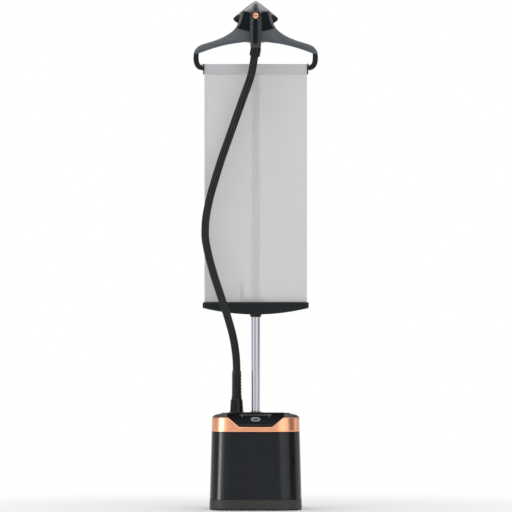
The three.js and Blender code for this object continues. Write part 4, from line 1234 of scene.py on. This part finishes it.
def build_head():
    sole = [(0.955, 0.0040, 0), (0.972, 0.0045, 0), (0.976, 0.0060, 0), (0.970, 0.0082, 0),
            (0.950, 0.0095, 0)]
    plate_piece = make("sole_plate", loft([kite_ring(s, out, up) for s, out, up in sole]), "sole_metal",
                       "handset", ["soleplate"])
    hole_radius, hole_steps = 0.0016, 16
    across = Vector((1, 0, 0))
    normal = Vector(head_point(0, 0, 1)) - Vector(head_point(0, 0, 0))
    upward = normal.cross(across)
    turns = [2 * math.pi * i / hole_steps for i in range(hole_steps)]
    for row in range(4):
        for side in (-1, 1):
            centre = Vector(head_point(side * (0.010 + row * 0.011), 0.034 - row * 0.014, 0.006))
            rim = [centre + (across * (math.cos(a) * hole_radius) + upward * math.sin(a) * hole_radius)
                   for a in turns]
            carve(plate_piece, loft([[tuple(p + normal * depth) for p in rim] for depth in (-0.010, 0.010)]))
    rim = [(0.965, 0.0037), (0.990, 0.0034), (1.0, 0.0020), (1.0, -0.0006), (0.992, -0.0020)]
    make("head_gasket", loft([kite_ring(s, out) for s, out in rim]), "black_plastic", "handset", ["head_rim"])
    cover = [(0.988, -0.0023, 0), (0.985, -0.0040, 0), (0.972, -0.0062, 0.0002), (0.93, -0.0088, 0.0008),
             (0.85, -0.0110, 0.0018), (0.74, -0.0130, 0.0032), (0.60, -0.0146, 0.0052),
             (0.44, -0.0157, 0.0075), (0.26, -0.0164, 0.0095), (0.10, -0.0167, 0.0105)]
    whole = loft([kite_ring(s, out, up) for s, out, up in cover])
    seam = [(0.090, 0.004), (0.064, 0.0115), (0.043, 0.0205), (0.020, 0.0235), (0, 0.024)]
    for name, slot, far, shift in (("head_shell", "head_grey", 0.09, 0.0002),
                                   ("head_skirt", "black_plastic", -0.09, 0)):
        line = [(x, up + shift) for x, up in seam]
        outline = line + [(-x, up) for x, up in reversed(line[:-1])] + [(-0.09, far), (0.09, far)]
        part = make(name, whole, slot, "handset", ["head_cover"] if far > 0 else [], angle=60)
        carve(part, loft([[head_point(x, up, out) for x, up in outline] for out in (0.01, -0.03)]),
              "INTERSECT")


# Sections of the handle from its foot to its top: z, half width, half depth, shift of the middle in Y.
HANDLE_SECTIONS = [
    (1.4972, 0.0150, 0.0144, 0), (1.4978, 0.0161, 0.0155, 0), (1.4992, 0.0168, 0.0162, 0),
    (1.5100, 0.0176, 0.0168, 0), (1.5200, 0.0181, 0.0172, 0), (1.5400, 0.0188, 0.0178, 0),
    (1.5600, 0.0191, 0.0178, 0), (1.5800, 0.0190, 0.0176, 0), (1.5920, 0.0183, 0.0174, 0),
    (1.6020, 0.0168, 0.0170, 0.0002), (1.6100, 0.0145, 0.0164, 0.0006), (1.6160, 0.0122, 0.0156, 0.0010),
    (1.6180, 0.0110, 0.0148, 0.0012),
]


def handle_at(z):
    """Half width, half depth and Y shift of the handle at a height."""
    rows = HANDLE_SECTIONS
    z = min(max(z, rows[0][0]), rows[-1][0])
    for low, high in zip(rows, rows[1:]):
        if z <= high[0]:
            t = (z - low[0]) / (high[0] - low[0])
            return [a + (b - a) * t for a, b in zip(low[1:], high[1:])]
    return list(rows[-1][1:])


def handle_ring(z, grow=0.0):
    half_x, half_y, shift = handle_at(z)
    half_x, half_y = half_x + grow, half_y + grow
    return level(rectangle(half_x, half_y, min(half_x, half_y) * 0.86, 9), z, 0, HANDLE_Y + shift)


def handle_front(x, z):
    """The handle's front surface at an x and a height."""
    half_x, half_y, shift = handle_at(z)
    radius = min(half_x, half_y) * 0.86
    beyond = max(0.0, abs(x) - (half_x - radius))
    drop = radius - math.sqrt(max(radius ** 2 - beyond ** 2, 0))
    return HANDLE_Y + shift - half_y + drop


def build_handle():
    heights = [row[0] for row in HANDLE_SECTIONS]
    dense = sorted({round(z, 5) for z in heights} | {round(1.502 + 0.116 * i / 40, 5) for i in range(41)})
    body = loft([handle_ring(z) for z in dense])
    for side, name in ((-1, "left"), (1, "right")):
        half = make(f"handle_half_{name}", body, "handle_grey", "handset", [f"handle_shell_{name}"])
        x0, x1 = sorted((side * 0.0002, side * 0.04))
        keep = plate([(x0, 1.48), (x1, 1.48), (x1, 1.63), (x0, 1.63)], -0.15, -0.05)
        carve(half, keep, "INTERSECT")
        well = turned([(0, -0.03), (0.0112, -0.03), (0.0112, 0.0085), (0, 0.0085)],
                      (0, HANDLE_Y - 0.0166, BUTTON_Z), "Y")
        carve(half, well)
    top, foot, half_width = 1.5885, 1.5095, 0.0092
    rows = []
    count = 48
    for i in range(count + 1):
        z = foot + (top - foot) * (0.5 - 0.5 * math.cos(math.pi * i / count))
        to_end = min(z - foot, top - z, half_width)
        half = half_width * math.sqrt(max(0.02, 1 - (1 - to_end / half_width) ** 2))
        rows.append([(half * (2 * j / 12 - 1), handle_front(half * (2 * j / 12 - 1), z) - 0.0007, z)
                     for j in range(13)])
    inlay = make("handle_inlay_strip", loft(rows, around=False, caps=False), "gloss_black", "handset",
                 ["handle_inlay"])
    thicken(inlay, 0.0022, 0.0005)
    build_button()
    build_neck()
    build_cuff()
    seam = [handle_ring(z, 0.0003) for z in (1.5066, 1.5074)]
    inner = [handle_ring(z, -0.003) for z in (1.5074, 1.5066)]
    make("handle_ring_seam", loft(seam + inner + seam[:1], caps=False), "gloss_black", "handset")


def build_button():
    """A dark cup with the copper button in it; the button has a fine groove across its middle."""
    y = HANDLE_Y - 0.0166
    cup = rounded_profile([(0.0107, 0.004), (0.0107, -0.0022), (0.0118, -0.0026), (0.0127, -0.0012),
                           (0.0127, 0.008), (0, 0.008), (0, 0.0065), (0.0107, 0.0065), (0.0107, 0.004)],
                          0.0006)
    make("button_cup", turned(cup, (0, y, BUTTON_Z), "Y"), "gloss_black", "handset")
    cap = rounded_profile([(0, -0.0008), (0.0060, -0.0012), (0.0090, -0.0004), (0.0104, 0.0014),
                           (0.0104, 0.0040), (0, 0.0040)], 0.0008)
    button = make("steam_button_cap", turned(cap, (0, y - 0.0020, BUTTON_Z), "Y"), "copper_trim",
                  "thumb_button", ["steam_button"])
    groove = block(-0.012, 0.012, y - 0.006, y - 0.0021, BUTTON_Z - 0.0012, BUTTON_Z + 0.0004, 0.0006, 0.0005)
    carve(button, groove)
    bar = block(-0.0095, 0.0095, y - 0.0030, y - 0.0018, BUTTON_Z - 0.0012, BUTTON_Z + 0.0004, 0.0006, 0.0004)
    make("button_slot", bar, "gloss_black", "thumb_button")


def build_neck():
    """The tongue that rises from the handle over the hood's edge and lies on the head's cover."""
    rows = [(1.6120, 0.0118, 0.0136, -0.0955), (1.6170, 0.0112, 0.0130, -0.0940),
            (1.6215, 0.0104, 0.0122, -0.0890), (1.6265, 0.0094, 0.0112, -0.0830),
            (1.6315, 0.0082, 0.0098, -0.0768), (1.6365, 0.0068, 0.0082, -0.0712),
            (1.6405, 0.0052, 0.0062, -0.0670), (1.6430, 0.0034, 0.0042, -0.0645)]
    rings = [level(rectangle(half_x, half_y, min(half_x, half_y) * 0.8, 6), z, 0, y) for z, half_x, half_y,
             y in rows]
    make("neck_tongue", loft(rings), "gloss_black", "handset", angle=60)


def build_cuff():
    lean = math.radians(10)
    top = 1.5037
    profile = rounded_profile([(0.0129, 1.4730), (0.0158, 1.4726), (0.0166, 1.4745), (0.0172, 1.4800),
                               (0.0170, 1.4960), (0.0158, 1.5030), (0.0140, top), (0.0060, top),
                               (0.0060, 1.5000), (0.0129, 1.4980), (0.0129, 1.4730)], 0.0012)
    points, faces = turned(profile, (0, 0, -top))
    placed = []
    for x, y, z in points:
        placed.append((x * math.cos(lean) + z * math.sin(lean) + 0.0015, y + HANDLE_Y,
                       -x * math.sin(lean) + z * math.cos(lean) + 1.5004))
    make("hose_cuff", (placed, faces), "black_plastic", "handset", ["handle_cuff"])


# ---- Hose ----
def braided_tube(name, route, start_along, joined_at):
    """A hose with raised diagonal strands. The strands run on from one stretch into the next.

    It is upright where the two stretches join, so that their ends meet. The polished pole doesn't mirror it.
    """
    centre = spline(route, 8)
    total, lengths = 0.0, [0.0]
    for a, b in zip(centre, centre[1:]):
        total += (b - a).length
        lengths.append(total)
    step = 0.0011
    count = round(total / step)
    around = 72
    strands, pitch = 12, 0.0225
    path, index = [], 0
    for i in range(count + 1):
        along = total * i / count
        while index < len(lengths) - 2 and lengths[index + 1] < along:
            index += 1
        t = (along - lengths[index]) / (lengths[index + 1] - lengths[index])
        path.append(centre[index].lerp(centre[index + 1], t))
    frame_x = Vector((0, -1, 0))
    rings, weave, fleck = [], [], []
    for i, point in enumerate(path):
        tangent = (path[min(i + 1, count)] - path[max(i - 1, 0)]).normalized()
        if i == (0 if joined_at == "start" else count):
            tangent = Vector((0, 0, 1))
        frame_x = (frame_x - tangent * frame_x.dot(tangent)).normalized()
        frame_y = tangent.cross(frame_x)
        along = start_along + total * i / count
        ring = []
        for j in range(around):
            angle = 2 * math.pi * j / around
            twist = strands * angle / (2 * math.pi)
            one = 0.5 + 0.5 * math.cos(2 * math.pi * (twist + along / pitch * 2.2))
            other = 0.5 + 0.5 * math.cos(2 * math.pi * (twist - along / pitch * 2.2))
            over = 0.5 + 0.5 * math.cos(2 * math.pi * (along / pitch * 3.0))
            height = max(one ** 1.4 * (0.55 + 0.45 * over), other ** 1.4 * (1.0 - 0.45 * over))
            radius = HOSE_RADIUS - 0.00055 + 0.00075 * height
            ring.append(point + frame_x * radius * math.cos(angle) + frame_y * radius * math.sin(angle))
            weave.append(height)
            fleck.append(one ** 3)
        rings.append(ring)
    mesh = bpy.data.meshes.new(name)
    points, faces = loft(rings)
    mesh.from_pydata(points, [], faces)
    mesh.shade_smooth()
    mesh.attributes.new("weave", "FLOAT", "POINT").data.foreach_set("value", weave)
    mesh.attributes.new("fleck", "FLOAT", "POINT").data.foreach_set("value", fleck)
    mesh.materials.append(materials["hose_braid"])
    piece = add_to_scene(name, mesh)
    piece.visible_glossy = False
    return piece, [tuple(p) for p in path[::6]] + [tuple(path[-1])], total


def build_hose():
    lower, lower_path, lower_length = braided_tube("braided_hose_lower", LOWER_HOSE, 0.0, "end")
    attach(lower, "base")
    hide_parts("hose_lower")
    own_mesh(lower)
    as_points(lower_path)
    upper, upper_path, upper_length = braided_tube("braided_hose_upper", UPPER_HOSE, lower_length, "start")
    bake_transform(upper)
    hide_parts("hose_upper")
    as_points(upper_path)


# ---- Rear details ----
def build_rear_details():
    """The ring round the cable gland."""
    low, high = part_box("power_inlet")
    x, z = (low.x + high.x) / 2, (low.z + high.z) / 2
    ring = rounded_profile([(0.0095, high.y - 0.0030), (0.0135, high.y - 0.0030), (0.0132, high.y + 0.0006),
                            (0.0112, high.y + 0.0012), (0.0095, high.y - 0.0004),
                            (0.0095, high.y - 0.0030)], 0.0006)
    make("inlet_ring", turned(ring, (x, 0, z), "Y"), "black_plastic", "base")


# ---- Looks for the CAD nodes that stay ----
def dress_cad_nodes():
    slot_of = {part["node"]: part["material_slot"] for part in frame["record"]["subparts"]}
    for name, node in frame["nodes"].items():
        node.data.materials.clear()
        node.data.materials.append(materials[slot_of[name]])
        node.data.set_sharp_from_angle(angle=math.radians(40))


# ---- Stage ----
def build_camera():
    camera_data = bpy.data.cameras.new("camera")
    camera_data.lens = 432
    camera_data.sensor_width = 36
    camera = bpy.data.objects.new("camera", camera_data)
    bpy.context.scene.collection.objects.link(camera)
    camera.location = (0.001, -20, 0.823)
    camera.rotation_euler = (math.radians(90), 0, 0)
    bpy.context.scene.camera = camera


def build_floor():
    """A pale disc that fades into the white of the studio."""
    radius, steps = 30, 96
    rings = [[(r * math.cos(2 * math.pi * i / steps), r * math.sin(2 * math.pi * i / steps), -0.0002)
              for i in range(steps)] for r in (0.001, 1, 3, radius)]
    points, faces = loft(rings)
    mesh = bpy.data.meshes.new("floor")
    mesh.from_pydata(points, [], faces[:-1])
    material = bpy.data.materials.new("studio_floor")
    material.use_nodes = True
    tree = material.node_tree
    shader = tree.nodes["Principled BSDF"]
    shader.inputs["Base Color"].default_value = (0.86, 0.86, 0.86, 1)
    shader.inputs["Roughness"].default_value = 0.35
    place = add_node(tree, "ShaderNodeTexCoord").outputs["Object"]
    distance = add_node(tree, "ShaderNodeVectorMath", {0: place}, operation="LENGTH").outputs["Value"]
    fade = add_node(tree, "ShaderNodeMapRange", {"Value": distance, "From Min": 0.35, "From Max": 1.6},
                    interpolation_type="SMOOTHSTEP").outputs["Result"]
    glow = add_node(tree, "ShaderNodeEmission").outputs[0]
    blend = add_node(tree, "ShaderNodeMixShader", {0: fade, 1: shader.outputs[0], 2: glow}).outputs[0]
    tree.links.new(blend, tree.nodes["Material Output"].inputs["Surface"])
    mesh.materials.append(material)
    add_to_scene("floor", mesh)


# Brightness of the studio's surround by direction, in degrees: 0 is towards the camera, minus is to the left.
SURROUND = [(-180, 0.30), (-130, 0.55), (-108, 0.40), (-84, 0.45), (-70, 1.8), (-54, 2.1), (-42, 0.70),
            (-30, 0.80), (-10, 0.54), (4, 0.58), (16, 1.75), (34, 1.65), (58, 1.1), (64, 0.06), (94, 0.06),
            (106, 0.95), (118, 0.7), (132, 0.35), (180, 0.30)]
# A softbox left of the base with a narrow beam. It lights everything but the materials listed below it.
SIDE_LAMP = {"degrees": -66, "distance": 1.0, "width": 0.42, "height": 0.50, "watts": 0.11,
             "aim": (-0.16, -0.16), "beam": 22}
NOT_IN_LAMP = {"pole_metal", "hose_braid", "board_mesh", "board_sleeve"}


def build_side_lamp():
    data = bpy.data.lights.new("side_lamp", "AREA")
    data.shape = "RECTANGLE"
    data.size = SIDE_LAMP["width"]
    data.size_y = SIDE_LAMP["height"]
    data.energy = SIDE_LAMP["watts"]
    data.spread = math.radians(SIDE_LAMP["beam"])
    lamp = bpy.data.objects.new("side_lamp", data)
    turn = math.radians(SIDE_LAMP["degrees"])
    lamp.location = (SIDE_LAMP["distance"] * math.sin(turn), -SIDE_LAMP["distance"] * math.cos(turn),
                     SIDE_LAMP["height"] / 2)
    to_aim = math.atan2(SIDE_LAMP["aim"][1] - lamp.location.y, SIDE_LAMP["aim"][0] - lamp.location.x)
    lamp.rotation_euler = (math.radians(90), 0, to_aim - math.radians(90))
    bpy.context.scene.collection.objects.link(lamp)
    lit = bpy.data.collections.new("lit_by_side_lamp")
    for piece in bpy.context.scene.objects:
        if piece.type != "MESH" or not piece.data.materials:
            continue
        if piece.data.materials[0].name.split(".")[0] not in NOT_IN_LAMP:
            lit.objects.link(piece)
    lamp.light_linking.receiver_collection = lit


def build_light():
    """A world that is plain white to the camera, and a soft studio for what it lights and what mirrors it."""
    world = bpy.data.worlds.new("studio")
    bpy.context.scene.world = world
    world.use_nodes = True
    tree = world.node_tree
    tree.nodes.clear()
    brightest = max(value for _, value in SURROUND)

    def smooth(value, start, end, low, high):
        inputs = {"Value": value, "From Min": start, "From Max": end, "To Min": low, "To Max": high}
        return add_node(tree, "ShaderNodeMapRange", inputs, interpolation_type="SMOOTHSTEP").outputs["Result"]

    place = add_node(tree, "ShaderNodeTexCoord").outputs["Generated"]
    axes = add_node(tree, "ShaderNodeSeparateXYZ", {0: place}).outputs
    ahead = add_node(tree, "ShaderNodeMath", {0: axes["Y"], 1: -1}, operation="MULTIPLY").outputs[0]
    angle = add_node(tree, "ShaderNodeMath", {0: axes["X"], 1: ahead}, operation="ARCTAN2").outputs[0]
    share = add_node(tree, "ShaderNodeMapRange", {"Value": angle, "From Min": -math.pi, "From Max": math.pi})
    curve = add_node(tree, "ShaderNodeValToRGB", {0: share.outputs["Result"]})
    curve.color_ramp.interpolation = "EASE"
    stops = curve.color_ramp.elements
    while len(stops) < len(SURROUND):
        stops.new(0.5)
    for stop, (degrees, value) in zip(stops, SURROUND):
        stop.position = (degrees + 180) / 360
        stop.color = (value / brightest,) * 3 + (1,)
    overhead = smooth(axes["Z"], 0.60, 0.72, 0, 1)
    fixture = smooth(axes["Z"], 0.88, 0.96, 2.2 / brightest, 0.5 / brightest)
    ceiling = add_node(tree, "ShaderNodeMix", {0: overhead, 6: curve.outputs[0], 7: fixture},
                       data_type="RGBA")
    surround = add_node(tree, "ShaderNodeBackground", {"Strength": brightest, "Color": ceiling.outputs[2]})
    seen = add_node(tree, "ShaderNodeBackground", {"Color": (1, 1, 1, 1)})
    by_camera = add_node(tree, "ShaderNodeLightPath").outputs["Is Camera Ray"]
    inputs = {0: by_camera, 1: surround.outputs[0], 2: seen.outputs[0]}
    choose = add_node(tree, "ShaderNodeMixShader", inputs).outputs[0]
    add_node(tree, "ShaderNodeOutputWorld", {"Surface": choose})
    bpy.context.scene.view_settings.view_transform = "Standard"


def sleeve_material():
    """The cloth sleeve of the top bar: the board's weave over a solid bar, so nothing shows through."""
    look = Look("board_sleeve", 0.8, Sheen_Weight=0.1, Specular_IOR_Level=0.2)
    threads = look.maths("MAXIMUM", look.bands(560, "X", 0.4), look.bands(560, "Z", 0.4))
    under = look.colour(look.noise(6, 4), (0.44, 0.44, 0.455), (0.475, 0.475, 0.49))
    look.speckle(under, look.span(threads, 0.25, 0, 0.2, 0.9), (0.30, 0.30, 0.31))
    look.rough(look.noise(40, 4), 0.75, 0.9)
    look.bump(threads, 0.3, 0.0003)
    return look.material


materials["board_sleeve"] = sleeve_material()

build_camera()
build_hose()
build_casing()
build_copper_band()
build_top()
build_filler_cap()
build_console()
build_fittings()
build_tank()
build_running_gear()
build_pole()
build_case()
build_fabric()
build_bracket()
build_hanger()
build_gloss_panel()
build_head()
build_handle()
build_rear_details()
dress_cad_nodes()
build_floor()
build_light()
build_side_lamp()
